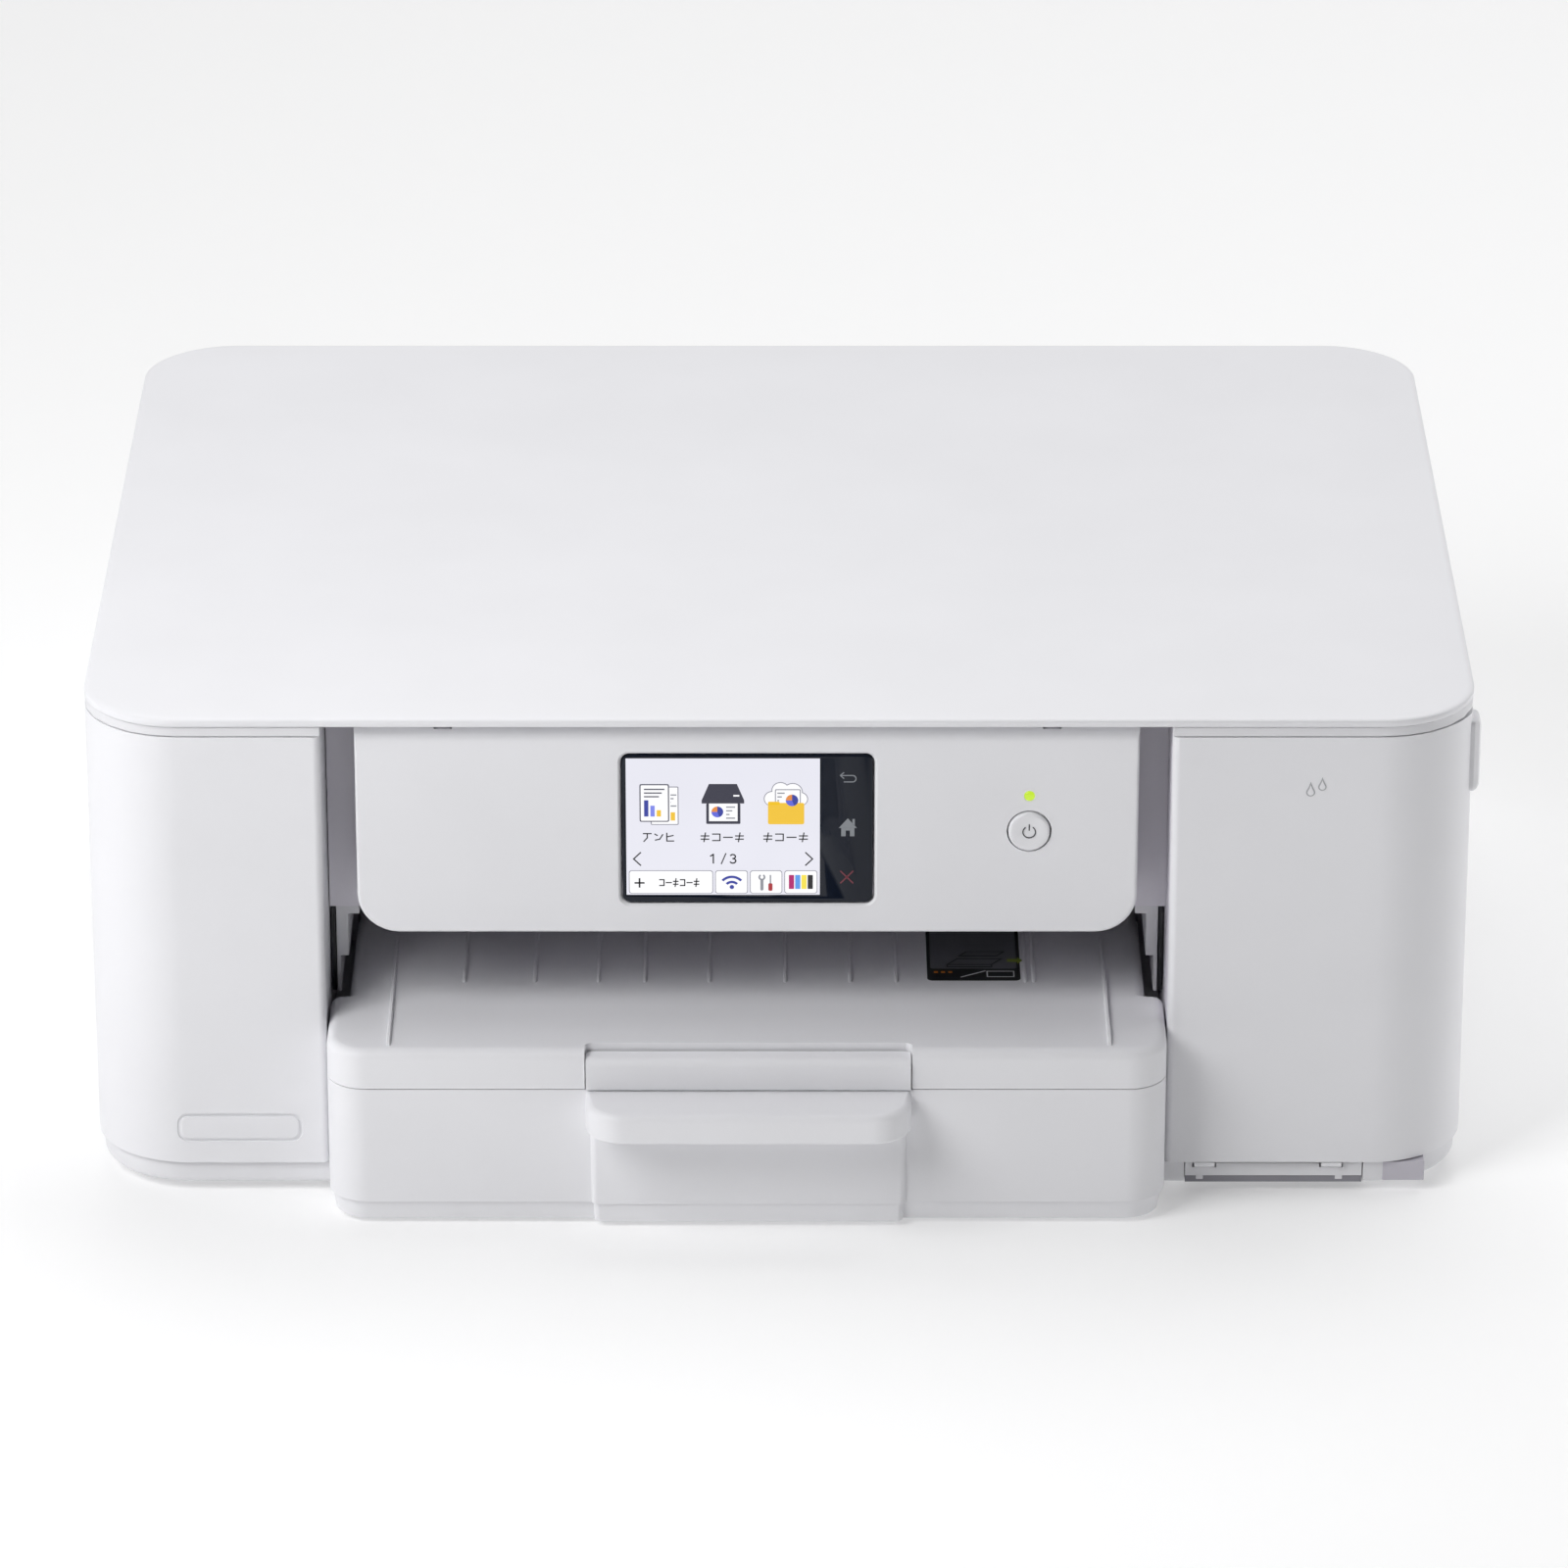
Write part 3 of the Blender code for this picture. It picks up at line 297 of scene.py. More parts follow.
def arc(u, v, radius, start, end, steps=FINE):
    """Points round a centre, angles in degrees."""
    angles = [math.radians(start + (end - start) * i / steps) for i in range(steps + 1)]
    return [(u + radius * math.cos(a), v + radius * math.sin(a)) for a in angles]


def circle(u, v, radius, steps=48):
    return arc(u, v, radius, 0, 360, steps)[:-1]


def rectangle(u0, u1, v0, v1, radius=0.0, upper=None, steps=8):
    """A rectangle anticlockwise from its lower left, its corners rounded where a radius is given."""
    upper = radius if upper is None else upper
    corners = ((u0, v0, 1, 1, radius, 180), (u1, v0, -1, 1, radius, 270))
    corners += ((u1, v1, -1, -1, upper, 0), (u0, v1, 1, -1, upper, 90))
    outline = []
    for u, v, right, up, r, start in corners:
        outline += arc(u + right * r, v + up * r, r, start, start + 90, steps) if r else [(u, v)]
    return outline


def inset_plan(low, high, inset, radius):
    """A rounded rectangle seen from above, that far inside a box's sides."""
    return rectangle(low.x + inset, high.x - inset, low.y + inset, high.y - inset, radius)


def inset_front(low, high, inset, radius):
    """The same seen from the front."""
    return rectangle(low.x + inset, high.x - inset, low.z + inset, high.z - inset, radius)


def toothed(u, v, crest, root, count, width=1):
    """A wheel with square teeth, each width points wide with a gap as wide after it."""
    outline = []
    for i in range(2 * width * count):
        angle = 2 * math.pi * i / (2 * width * count)
        radius = crest if i % (2 * width) < width else root
        outline.append((u + radius * math.cos(angle), v + radius * math.sin(angle)))
    return outline


def round_over(across, high, steps=8):
    """(inset, rise) pairs of a rounded edge, from its side to its top."""
    turns = [math.pi / 2 * i / steps for i in range(steps + 1)]
    return [(across * (1 - math.cos(t)), high * math.sin(t)) for t in turns]


def place(outline, level, axis="Z"):
    if axis == "X":
        return [(level, u, v) for u, v in outline]
    if axis == "Y":
        return [(u, level, v) for u, v in outline]
    return [(u, v, level) for u, v in outline]


def to_object(name, build, material, smooth=35):
    bmesh.ops.recalc_face_normals(build, faces=build.faces)
    mesh = bpy.data.meshes.new(name)
    build.to_mesh(mesh)
    build.free()
    if material:
        mesh.materials.append(material)
    mesh.shade_smooth()
    mesh.set_sharp_from_angle(angle=math.radians(smooth))
    made = bpy.data.objects.new(name, mesh)
    bpy.context.scene.collection.objects.link(made)
    return made


def add_loft(build, rings):
    loops = [[build.verts.new(Vector(p) * MM) for p in ring] for ring in rings]
    for lower, upper in zip(loops, loops[1:]):
        for i in range(len(lower)):
            j = (i + 1) % len(lower)
            build.faces.new((lower[i], lower[j], upper[j], upper[i]))
    build.faces.new(list(reversed(loops[0])))
    build.faces.new(loops[-1])


def loft(name, rings, material=None):
    """A closed body through rings with as many points each, capped at both ends."""
    build = bmesh.new()
    add_loft(build, rings)
    return to_object(name, build, material)


def prism(name, outline, span, axis="Z", material=None):
    return loft(name, [place(outline, level, axis) for level in span], material)


def flat_shapes(name, outlines, span, axis, material):
    """Many thin shapes on one plane, as one mesh."""
    build = bmesh.new()
    for outline in outlines:
        add_loft(build, [place(outline, level, axis) for level in span])
    return to_object(name, build, material)


def box(name, x, y, z, material=None):
    return prism(name, rectangle(*x, *y), z, "Z", material)


def baked(piece):
    """Turns a piece's modifiers into its mesh."""
    graph = bpy.context.evaluated_depsgraph_get()
    mesh = bpy.data.meshes.new_from_object(piece.evaluated_get(graph))
    piece.modifiers.clear()
    piece.data = mesh
    mesh.name = piece.name
    return piece


def combine(piece, operation, others):
    for other in others:
        modifier = piece.modifiers.new(operation.title(), "BOOLEAN")
        modifier.operation = operation
        modifier.solver = "EXACT"
        modifier.object = other
        baked(piece)
        bpy.data.objects.remove(other)
    return piece


def join(piece, *others):
    return combine(piece, "UNION", others)


def cut(piece, *others):
    return combine(piece, "DIFFERENCE", others)


def soften(piece, width, segments=3, angle=35):
    """Rounds a piece's sharp edges, as a mould does."""
    bevel = piece.modifiers.new("Edge rounding", "BEVEL")
    bevel.width = width * MM
    bevel.segments = segments
    bevel.limit_method = "ANGLE"
    bevel.angle_limit = math.radians(angle)
    bevel.use_clamp_overlap = True
    bevel.miter_outer = "MITER_ARC"
    baked(piece)
    piece.data.shade_smooth()
    piece.data.set_sharp_from_angle(angle=math.radians(40))
    # Flat faces keep flat shading, and only the rounded edges turn the light
    weighting = piece.modifiers.new("Face weighting", "WEIGHTED_NORMAL")
    weighting.keep_sharp = True
    return baked(piece)


def settle(piece, body, slot, *nodes):
    """Puts a finished piece on its body and lets it stand for CAD nodes, hiding them. Its slot is not used.
    """
    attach(piece, body)
    if nodes:
        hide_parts(*nodes)
    return piece


def clean_copy(node, name, material):
    """A copy of a CAD node's mesh with its doubles merged and its flat faces whole."""
    build = bmesh.new()
    build.from_mesh(frame["nodes"][node].data)
    bmesh.ops.remove_doubles(build, verts=build.verts, dist=0.002 * MM)
    bmesh.ops.dissolve_limit(build, angle_limit=math.radians(0.5), verts=build.verts, edges=build.edges)
    return to_object(name, build, material)


def body_of(node):
    bodies = frame["record"]["behaviour"]["bodies"]
    return next(body for body, members in bodies.items() if node in members)


def refined(node, name, material, slot, width=0.5, segments=2):
    """A CAD node in its finish, with its edges rounded."""
    piece = clean_copy(node, name, material)
    if width:
        soften(piece, width, segments)
    return settle(piece, body_of(node), slot, node)


def body_plan(inset=0.0, front=BODY_FRONT, back=BACK):
    half = HALF_WIDTH - inset
    return rectangle(-half, half, front + inset, back - inset, CORNER - inset, steps=FINE)


# ---------------------------------------------------------------- repeated details, as Geometry Nodes


def node_tree(name, inputs):
    """An empty Geometry Nodes tree with named inputs: (tree, its inputs' outputs, its Geometry result)."""
    tree = bpy.data.node_groups.new(name, "GeometryNodeTree")
    tree.interface.new_socket("Geometry", in_out="OUTPUT", socket_type="NodeSocketGeometry")
    for label, kind, default in inputs:
        socket = tree.interface.new_socket(label, in_out="INPUT", socket_type=kind)
        socket.default_value = default
    given = add_node(tree, "NodeGroupInput")
    result = add_node(tree, "NodeGroupOutput")
    return tree, given.outputs, result.inputs["Geometry"]


def end_with_copies(tree, result, points, template, **scale):
    """Ends a tree with the template on each point, made real and given the template's material."""
    shape = add_node(tree, "GeometryNodeObjectInfo", {"Object": template})
    inputs = {"Points": points, "Instance": shape.outputs["Geometry"], **scale}
    copies = add_node(tree, "GeometryNodeInstanceOnPoints", inputs)
    whole = add_node(tree, "GeometryNodeRealizeInstances", {"Geometry": copies.outputs["Instances"]})
    inputs = {"Geometry": whole.outputs["Geometry"], "Material": template.data.materials[0]}
    skin = add_node(tree, "GeometryNodeSetMaterial", inputs)
    tree.links.new(skin.outputs["Geometry"], result)


def grown(name, tree, material, **sizes):
    """A plain mesh made by a Geometry Nodes tree with these sizes, each set by its socket's identifier."""
    carrier = bpy.data.objects.new(name, bpy.data.meshes.new(name))
    bpy.context.scene.collection.objects.link(carrier)
    modifier = carrier.modifiers.new("Grow", "NODES")
    modifier.node_group = tree
    for item in tree.interface.items_tree:
        if item.in_out == "INPUT" and item.name.replace(" ", "_") in sizes:
            modifier[item.identifier] = sizes[item.name.replace(" ", "_")]
    baked(carrier)
    carrier.data.materials.clear()
    carrier.data.materials.append(material)
    carrier.data.shade_smooth()
    carrier.data.set_sharp_from_angle(angle=math.radians(35))
    return carrier


def row_tree(name, template):
    """Copies of a template from Start: Rows of them a Step apart, Columns of those a Column Step apart."""
    zero = (0.0, 0.0, 0.0)
    inputs = [(label, "NodeSocketVector", zero) for label in ("Start", "Step", "Column Step")]
    inputs += [(label, "NodeSocketInt", 1) for label in ("Rows", "Columns")]
    tree, given, result = node_tree(name, inputs)
    inputs = {0: given["Rows"], 1: given["Columns"]}
    total = add_node(tree, "ShaderNodeMath", inputs, operation="MULTIPLY")
    line = add_node(tree, "GeometryNodeMeshLine", {"Count": total.outputs[0], "Offset": zero})
    index = add_node(tree, "GeometryNodeInputIndex").outputs[0]
    row = add_node(tree, "ShaderNodeMath", {0: index, 1: given["Rows"]}, operation="MODULO")
    whole_rows = add_node(tree, "ShaderNodeMath", {0: index, 1: given["Rows"]}, operation="DIVIDE")
    column = add_node(tree, "ShaderNodeMath", {0: whole_rows.outputs[0]}, operation="FLOOR")
    inputs = {0: given["Step"], "Scale": row.outputs[0]}
    along = add_node(tree, "ShaderNodeVectorMath", inputs, operation="SCALE")
    inputs = {0: given["Column Step"], "Scale": column.outputs[0]}
    across = add_node(tree, "ShaderNodeVectorMath", inputs, operation="SCALE")
    inputs = {0: along.outputs[0], 1: across.outputs[0]}
    offset = add_node(tree, "ShaderNodeVectorMath", inputs, operation="ADD")
    inputs = {0: offset.outputs[0], 1: given["Start"]}
    spot = add_node(tree, "ShaderNodeVectorMath", inputs, operation="ADD")
    inputs = {"Geometry": line.outputs["Mesh"], "Position": spot.outputs[0]}
    points = add_node(tree, "GeometryNodeSetPosition", inputs)
    end_with_copies(tree, result, points.outputs["Geometry"], template)
    return tree


def repeated(name, template, start, step, count, column_step=(0, 0, 0), columns=1):
    """Copies of a template in rows, as one mesh. The template, at the origin, is used up."""
    tree = row_tree(name + "_rows", template)
    sizes = {"Start": start, "Step": step, "Column_Step": column_step}
    sizes = {label: Vector(size) * MM for label, size in sizes.items()}
    made = grown(name, tree, template.data.materials[0], Rows=count, Columns=columns, **sizes)
    bpy.data.objects.remove(template)
    return made


def on_points(name, template, points):
    """Copies of a template at listed points, as one mesh. The template, at the origin, is used up."""
    tree, given, result = node_tree(name + "_places", [("Size", "NodeSocketFloat", 1.0)])
    build = bmesh.new()
    for point in points:
        build.verts.new(Vector(point) * MM)
    places = to_object(name + "_points", build, None)
    spots = add_node(tree, "GeometryNodeObjectInfo", {"Object": places})
    end_with_copies(tree, result, spots.outputs["Geometry"], template, Scale=given["Size"])
    made = grown(name, tree, template.data.materials[0], Size=1.0)
    for used in (places, template):
        bpy.data.objects.remove(used)
    return made


def rib(name, material, length, base, crest, height):
    """A moulded rib along Y with a rounded crest and ends that ramp down, standing on Z = 0."""
    half = base / 2
    profile = [(-half, -0.2), (half, -0.2), (crest / 2 + 0.08, height * 0.7), (crest / 4, height)]
    profile += [(-crest / 4, height), (-crest / 2 - 0.08, height * 0.7)]
    stations = ((0.0, 0.05), (0.35, 0.55), (0.9, 0.9), (1.6, 1.0))
    stations += tuple((length - y, s) for y, s in reversed(stations))
    rings = [[(u * (0.5 + s / 2), y, v * s if v > 0 else v) for u, v in profile] for y, s in stations]
    return loft(name, rings, material)


def countersunk_screw(name, material):
    """A cross-head screw lying along Y, its head to the back (+Y), 6 mm across."""
    turned = [(0.3, -0.6), (2.2, -0.5), (3.0, -0.1), (3.0, 0.25), (2.6, 0.55), (1.5, 0.75), (0.4, 0.8)]
    screw = loft(name, [[(u, y, v) for u, v in circle(0, 0, r, 20)] for r, y in turned], material)
    slots = [
        box("cross", (-1.7, 1.7), (0.2, 1.2), (-0.28, 0.28)),
        box("cross", (-0.28, 0.28), (0.2, 1.2), (-1.7, 1.7)),
    ]
    return cut(screw, *slots)


# ---------------------------------------------------------------- lid and scanner

EDGE_STEPS = 10
TOP_RISE = 0.9
LID_EDGE = round_over(2.2, TOP_RISE, EDGE_STEPS)

side_top = LID_HIGH.z - TOP_RISE
lid_rings = [(1.2, LID_LOW.z), (0.15, LID_LOW.z + 0.08), (0.0, LID_LOW.z + 0.3)]
lid_rings += [(inset, side_top + rise) for inset, rise in LID_EDGE]
lid_rings += [(14.0, LID_HIGH.z - 0.005), (26.0, LID_HIGH.z - 0.002)]
lid = loft("lid_shell", [place(body_plan(inset, LID_LOW.y + 1.2), z) for inset, z in lid_rings], WHITE)
settle(lid, "document_lid", "casing_white", "document_lid")

# Foam pad under the lid: it sits on a thin white backing sheet and its own edges pull in a little
pad_levels = ((1.2, PAD_LOW.z), (0.3, PAD_LOW.z + 0.4), (0.0, PAD_LOW.z + 1.3))
pad_levels += ((0.2, PAD_HIGH.z - 1.6), (0.6, PAD_HIGH.z - 0.6), (0.6, PAD_HIGH.z + 0.25))
pad_rings = [place(inset_plan(PAD_LOW, PAD_HIGH, inset, 5), z) for inset, z in pad_levels]
pad = loft("lid_foam_pad", pad_rings, FOAM)
settle(pad, "document_lid", "foam", "lid_pad")

refined("scanner_base", "scanner_rim_and_tub", GREY_WHITE, "casing_white", 0.2, 2)
# White border and printed alignment arrow round the scanning window
GLASS_LOW, GLASS_HIGH = box_mm("scanner_glass")
frame_strips = [
    rectangle(GLASS_LOW.x, GLASS_HIGH.x, GLASS_LOW.y, GLASS_LOW.y + 3.2),
    rectangle(GLASS_LOW.x, GLASS_HIGH.x, GLASS_HIGH.y - 3.2, GLASS_HIGH.y),
    rectangle(GLASS_LOW.x, GLASS_LOW.x + 3.4, GLASS_LOW.y + 3.2, GLASS_HIGH.y - 3.2),
    rectangle(GLASS_HIGH.x - 3.4, GLASS_HIGH.x, GLASS_LOW.y + 3.2, GLASS_HIGH.y - 3.2),
]
border_span = (GLASS_HIGH.z + 0.02, GLASS_HIGH.z + 0.14)
border = flat_shapes("scan_window_border", frame_strips, border_span, "Z", WHITE)
settle(border, "scanner_unit", "casing_white")
arrow = [
    (GLASS_HIGH.x - 13, GLASS_LOW.y + 1.6),
    (GLASS_HIGH.x - 6, GLASS_LOW.y + 0.4),
    (GLASS_HIGH.x - 6, GLASS_LOW.y + 2.8),
]
mark = prism("alignment_arrow", arrow, (GLASS_HIGH.z + 0.14, GLASS_HIGH.z + 0.2), "Z", MARKING)
settle(mark, "scanner_unit", "casing_grey")

refined("scanner_glass", "scan_window_pane", GLASS, "clear_glass", 0.2, 1)
refined("scanner_rod", "sensor_guide_rod", STEEL, "motor_steel", 0.3, 2)
BAR_LOW, BAR_HIGH = box_mm("scan_bar")
refined("scan_bar", "sensor_bar_housing", BLACK, "black_plastic", 0.8, 3)
lens_row = box(
    "sensor_lens_strip",
    (BAR_LOW.x + 4, BAR_LOW.x + 7),
    (BAR_LOW.y + 4, BAR_HIGH.y - 4),
    (BAR_HIGH.z - 0.4, BAR_HIGH.z + 0.25),
    WINDOW,
)
settle(soften(lens_row, 0.12, 2), "scan_bar", "display_window")
glow_row = box(
    "sensor_light_strip",
    (BAR_LOW.x + 9, BAR_LOW.x + 11),
    (BAR_LOW.y + 4, BAR_HIGH.y - 4),
    (BAR_HIGH.z - 0.4, BAR_HIGH.z + 0.3),
    ACETAL,
)
settle(soften(glow_row, 0.12, 2), "scan_bar", "acetal")

# ---------------------------------------------------------------- casing shells


def tower_outline():
    """The left tower's wall in plan: a thick-skinned hook from the bay, round the corner and back."""
    inner, bend = HALF_WIDTH - WALL, BODY_FRONT + CORNER
    outline = arc(-HALF_WIDTH + CORNER, bend, CORNER, 270, 180)
    outline += [(-HALF_WIDTH, LEFT_HIGH.y), (-inner, LEFT_HIGH.y)]
    outline += arc(-HALF_WIDTH + CORNER, bend, CORNER - WALL, 180, 270)
    outline += [(BAY_LEFT - WALL, BODY_FRONT + WALL), (BAY_LEFT - WALL, -62.0), (BAY_LEFT, -62.0)]
    return outline + arc(BAY_LEFT - EDGE_ROUND, BODY_FRONT + EDGE_ROUND, EDGE_ROUND, 360, 270, 8)


TUB_ROOM_Y = -105.0
tower = prism("left_tower_shell", tower_outline(), (SHELL_BOTTOM, SHELL_TOP), "Z", WHITE)
PLATE_X, PLATE_Z = (-175.0, -138.7), (17.1, 26.0)
recess = prism("plate_recess", rectangle(*PLATE_X, *PLATE_Z, 3.2), (BODY_FRONT - 2, BODY_FRONT + 0.55), "Y")
cut(tower, recess, box("tub_room", (BAY_LEFT - 5, BAY_LEFT + 1), (TUB_ROOM_Y, 0), (113.0, SHELL_TOP + 1)))
soften(tower, 0.35, 2)
settle(tower, "root", "casing_white", "left_cover")
plate = loft(
    "blank_name_plate",
    [
        place(rectangle(PLATE_X[0] + d, PLATE_X[1] - d, PLATE_Z[0] + d, PLATE_Z[1] - d, 3.2 - d), y, "Y")
        for d, y in (
            (0.9, BODY_FRONT + 0.6),
            (0.9, BODY_FRONT + 0.1),
            (1.15, BODY_FRONT - 0.05),
            (1.6, BODY_FRONT - 0.1),
        )
    ],
    WHITE,
)
settle(plate, "root", "casing_white")

# Ink door: wraps the right-hand corner, its lower edge on knuckles, its top cut to swing under the rim
DOOR_AXIS_Y, DOOR_AXIS_Z = -131.0, 10.0
DOOR_REACH = SHELL_TOP + GAP - DOOR_AXIS_Z - 0.1
outer, inner, bend = HALF_WIDTH, HALF_WIDTH - WALL, BODY_FRONT + CORNER
door_plan = arc(BAY_RIGHT + EDGE_ROUND, BODY_FRONT + EDGE_ROUND, EDGE_ROUND, 180, 270, 8)
door_plan += arc(outer - CORNER, bend, CORNER, 270, 360)
door_plan += [(outer, DOOR_HIGH.y), (inner, DOOR_HIGH.y)]
door_plan += arc(outer - CORNER, bend, CORNER - WALL, 360, 270)
door_plan.append((BAY_RIGHT, BODY_FRONT + WALL))
door = prism("ink_door_shell", door_plan, (SHELL_BOTTOM, SHELL_TOP), "Z", WHITE)
knuckles = [
    prism(
        "knuckle",
        rectangle(DOOR_AXIS_Y - 1.4, DOOR_AXIS_Y + 1.4, DOOR_AXIS_Z - 1.6, DOOR_AXIS_Z + 2, 1.2, 0),
        span,
        "X",
    )
    for span in ((121, 127), (158, 164))
]
join(door, *knuckles)
swing = prism("swing", circle(DOOR_AXIS_Y, DOOR_AXIS_Z, DOOR_REACH, 160), (100, 210), "X")
combine(door, "INTERSECT", [swing])
soften(door, 0.35, 2)
settle(door, "ink_door", "casing_white", "ink_door")
# Finger tab on the side, a soft ridge with a scooped front
TAB_REACH = 2.15
tab_rings = []
tab_levels = ((0.9, 119.1), (1.6, 119.4), (2.05, 120.2), (TAB_REACH, 121.4))
tab_levels += ((TAB_REACH, 138.8), (2.05, 140.0), (1.6, 140.8), (0.9, 141.1))
for reach, z in tab_levels:
    front, back = -112.0 + (TAB_REACH - reach) * 0.9, -101.6 - (TAB_REACH - reach) * 0.3
    ridge = [
        (outer - 1.2, front),
        (outer + 0.2, front),
        (outer + reach * 0.75, front + 1.2),
        (outer + reach, front + 3.0),
    ]
    ridge += [
        (outer + reach, back - 1.4),
        (outer + reach * 0.8, back - 0.5),
        (outer + 0.1, back),
        (outer - 1.2, back),
    ]
    tab_rings.append(place(ridge, z))
settle(soften(loft("ink_door_finger_tab", tab_rings, WHITE), 0.3, 2, 25), "ink_door", "casing_white")


def drop_outline(x, z, size):
    """An ink drop: a round foot that tapers to a point above."""
    outline = arc(x, z, size, -215, 35, 16)
    tip = (x, z + size * 2.5)
    return outline + [(x + size * 0.42, z + size * 1.35), tip, (x - size * 0.42, z + size * 1.35)]


DROPS = ((151.9, 128.1, 1.3), (155.2, 129.8, 1.2))
# Each drop's pale grey rim is painted shade round its embossed edge, and a white heart stands proud inside
# it
rims = [drop_outline(*drop) for drop in DROPS]
embossed = flat_shapes("ink_drop_marks", rims, (BODY_FRONT - 0.1, BODY_FRONT + 0.3), "Y", EMBOSS_SHADE)
settle(embossed, "ink_door", "casing_white")
hearts = [drop_outline(x + 0.05, z, size * 0.68) for x, z, size in DROPS]
raised = flat_shapes("ink_drop_hearts", hearts, (BODY_FRONT - 0.22, BODY_FRONT + 0.3), "Y", WHITE)
settle(raised, "ink_door", "casing_white")

# The bay's inner frame, brackets, back and side shells keep the CAD's shape with moulded edges
refined("right_cover", "right_cover_moulding", WHITE, "casing_white", 0.35, 2)
refined("front_frame", "front_frame_moulding", RECESS, "inner_grey", 0.25, 2)
for side_name, way, edge in (("left", 1, BAY_LEFT), ("right", -1, BAY_RIGHT)):
    low, high = box_mm("guide_bracket_" + side_name)
    reach = abs(high.x - low.x)
    outline = [(1.9, 52.5), (3.0, 52.5), (3.0, 63.9), (5.4, 63.9), (5.4, 77.3)]
    outline += [(reach, 77.3), (reach, 79.9), (1.9, 79.9)]
    steps = [(edge + way * d, z) for d, z in outline]
    bracket = prism("guide_bracket_%s_moulding" % side_name, steps, (low.y, high.y), "Y", GREY_WHITE)
    settle(soften(bracket, 0.3, 2), "root", "casing_grey", "guide_bracket_" + side_name)
    # A black strip in the slot between the bracket and the tower is painted shade, so that the slot reads
    # dark
    outline = [(0.35, 52.6), (1.7, 52.6), (1.7, 80.1), (reach, 80.1), (reach, 80.7), (0.35, 80.7)]
    strip = [(edge + way * d, z) for d, z in outline]
    seal = prism("light_seal_" + side_name, strip, (low.y + 0.4, high.y - 1), "Y", BLACK)
    settle(soften(seal, 0.15, 1), "root", "black_plastic")

RIGHT_BEND, LEFT_BEND, REAR_BEND = outer - CORNER, CORNER - outer, BACK - CORNER
rear_plan = [(outer, BACK_LOW.y)]
rear_plan += arc(RIGHT_BEND, REAR_BEND, CORNER, 0, 90) + arc(LEFT_BEND, REAR_BEND, CORNER, 90, 180)
rear_plan += [(-outer, BACK_LOW.y), (-inner, BACK_LOW.y)]
rear_plan += arc(LEFT_BEND, REAR_BEND, CORNER - WALL, 180, 90)
rear_plan += arc(RIGHT_BEND, REAR_BEND, CORNER - WALL, 90, 0) + [(inner, BACK_LOW.y)]
rear = prism("rear_shell", rear_plan, (SHELL_BOTTOM, SHELL_TOP), "Z", WHITE)
JAM_GAP = 0.5
jam_way = inset_front(JAM_LOW, JAM_HIGH, -JAM_GAP, 1.0)
INLET_LOW, INLET_HIGH = box_mm("ac_inlet")
PORTS_LOW, PORTS_HIGH = box_mm("io_ports")
cut(
    rear,
    prism("jam_way", jam_way, (150, 180), "Y"),
    box(
        "inlet_way",
        (INLET_LOW.x - 0.3, INLET_HIGH.x + 0.3),
        (150, 180),
        (INLET_LOW.z - 0.3, INLET_HIGH.z + 0.3),
    ),
    box(
        "ports_way",
        (PORTS_LOW.x - 0.3, PORTS_HIGH.x + 0.3),
        (150, 180),
        (PORTS_LOW.z - 0.3, PORTS_HIGH.z + 0.3),
    ),
    box("cassette_end", (BAY_LEFT, BAY_RIGHT), (160, 168.2), (8, 20)),
)
# Louvre slots for the power supply's air, in two rows
slot_cutter = prism("louvre", rectangle(-1.1, 1.1, -9, 9, 1.1), (-4, 4), "Y", WHITE)
cut(rear, repeated("louvres", slot_cutter, (124, BACK, 92), (5.2, 0, 0), 12, (0, 0, 26), 2))
soften(rear, 0.35, 2)
settle(rear, "root", "casing_white", "rear_cover")

refined("rear_jam_cover", "jam_door_moulding", GREY_WHITE, "casing_grey", 0.4, 2)
grip = prism(
    "jam_grip",
    rectangle(BAY_MIDDLE - 16, BAY_MIDDLE + 16, 122, 132, 4),
    (BACK - 0.05, BACK - 0.75),
    "Y",
    INNER_AND_SHADE,
)
settle(soften(grip, 0.25, 2), "rear_jam_cover", "inner_grey")
screws = repeated("rear_screws", countersunk_screw("screw", STEEL), (-150, BACK - 0.85, 40), (0, 0, 86), 2)
settle(screws, "root", "motor_steel")

# ---------------------------------------------------------------- control panel

AXIS_Y, AXIS_Z, ROLL = -124.5, 142.5, 5.0
FACE = PANEL_LOW.y
PANEL_BACK = PANEL_HIGH.y
FACE_ROUND = 1.1

side = arc(AXIS_Y, AXIS_Z, ROLL, 0, 180, 20) + [(FACE, PANEL_LOW.z)]
side += [(PANEL_BACK - 3, PANEL_LOW.z), (PANEL_BACK, PANEL_LOW.z + 3), (PANEL_BACK, AXIS_Z - 12)]
panel = prism("control_panel_shell", side, (PANEL_LOW.x, PANEL_HIGH.x), "X", WHITE)
face_rings = [(0.0, PANEL_BACK + 2)] + [
    (inset, FACE + FACE_ROUND - rise) for inset, rise in round_over(FACE_ROUND, FACE_ROUND)
]
front = [
    place(
        rectangle(PANEL_LOW.x + d, PANEL_HIGH.x - d, PANEL_LOW.z + d, PANEL_HIGH.z + 2, 12 - d, 3), y, "Y"
    )
    for d, y in face_rings
]
combine(panel, "INTERSECT", [loft("panel_front", front)])
HOLLOW = 2.2
RIM_FLARE = (
    (1.35, FACE - 0.1), (1.2, FACE + 0.05), (0.75, FACE + 0.3), (0.4, FACE + 0.7), (0.25, FACE + 1.2)
)
BUTTON = ((BUTTON_LOW.x + BUTTON_HIGH.x) / 2, (BUTTON_LOW.z + BUTTON_HIGH.z) / 2)
BUTTON_RADIUS = (BUTTON_HIGH.x - BUTTON_LOW.x) / 2
LIGHT = ((LIGHT_LOW.x + LIGHT_HIGH.x) / 2, (LIGHT_LOW.z + LIGHT_HIGH.z) / 2)
display_way = inset_front(DISPLAY_LOW, DISPLAY_HIGH, -0.25, 2.4)
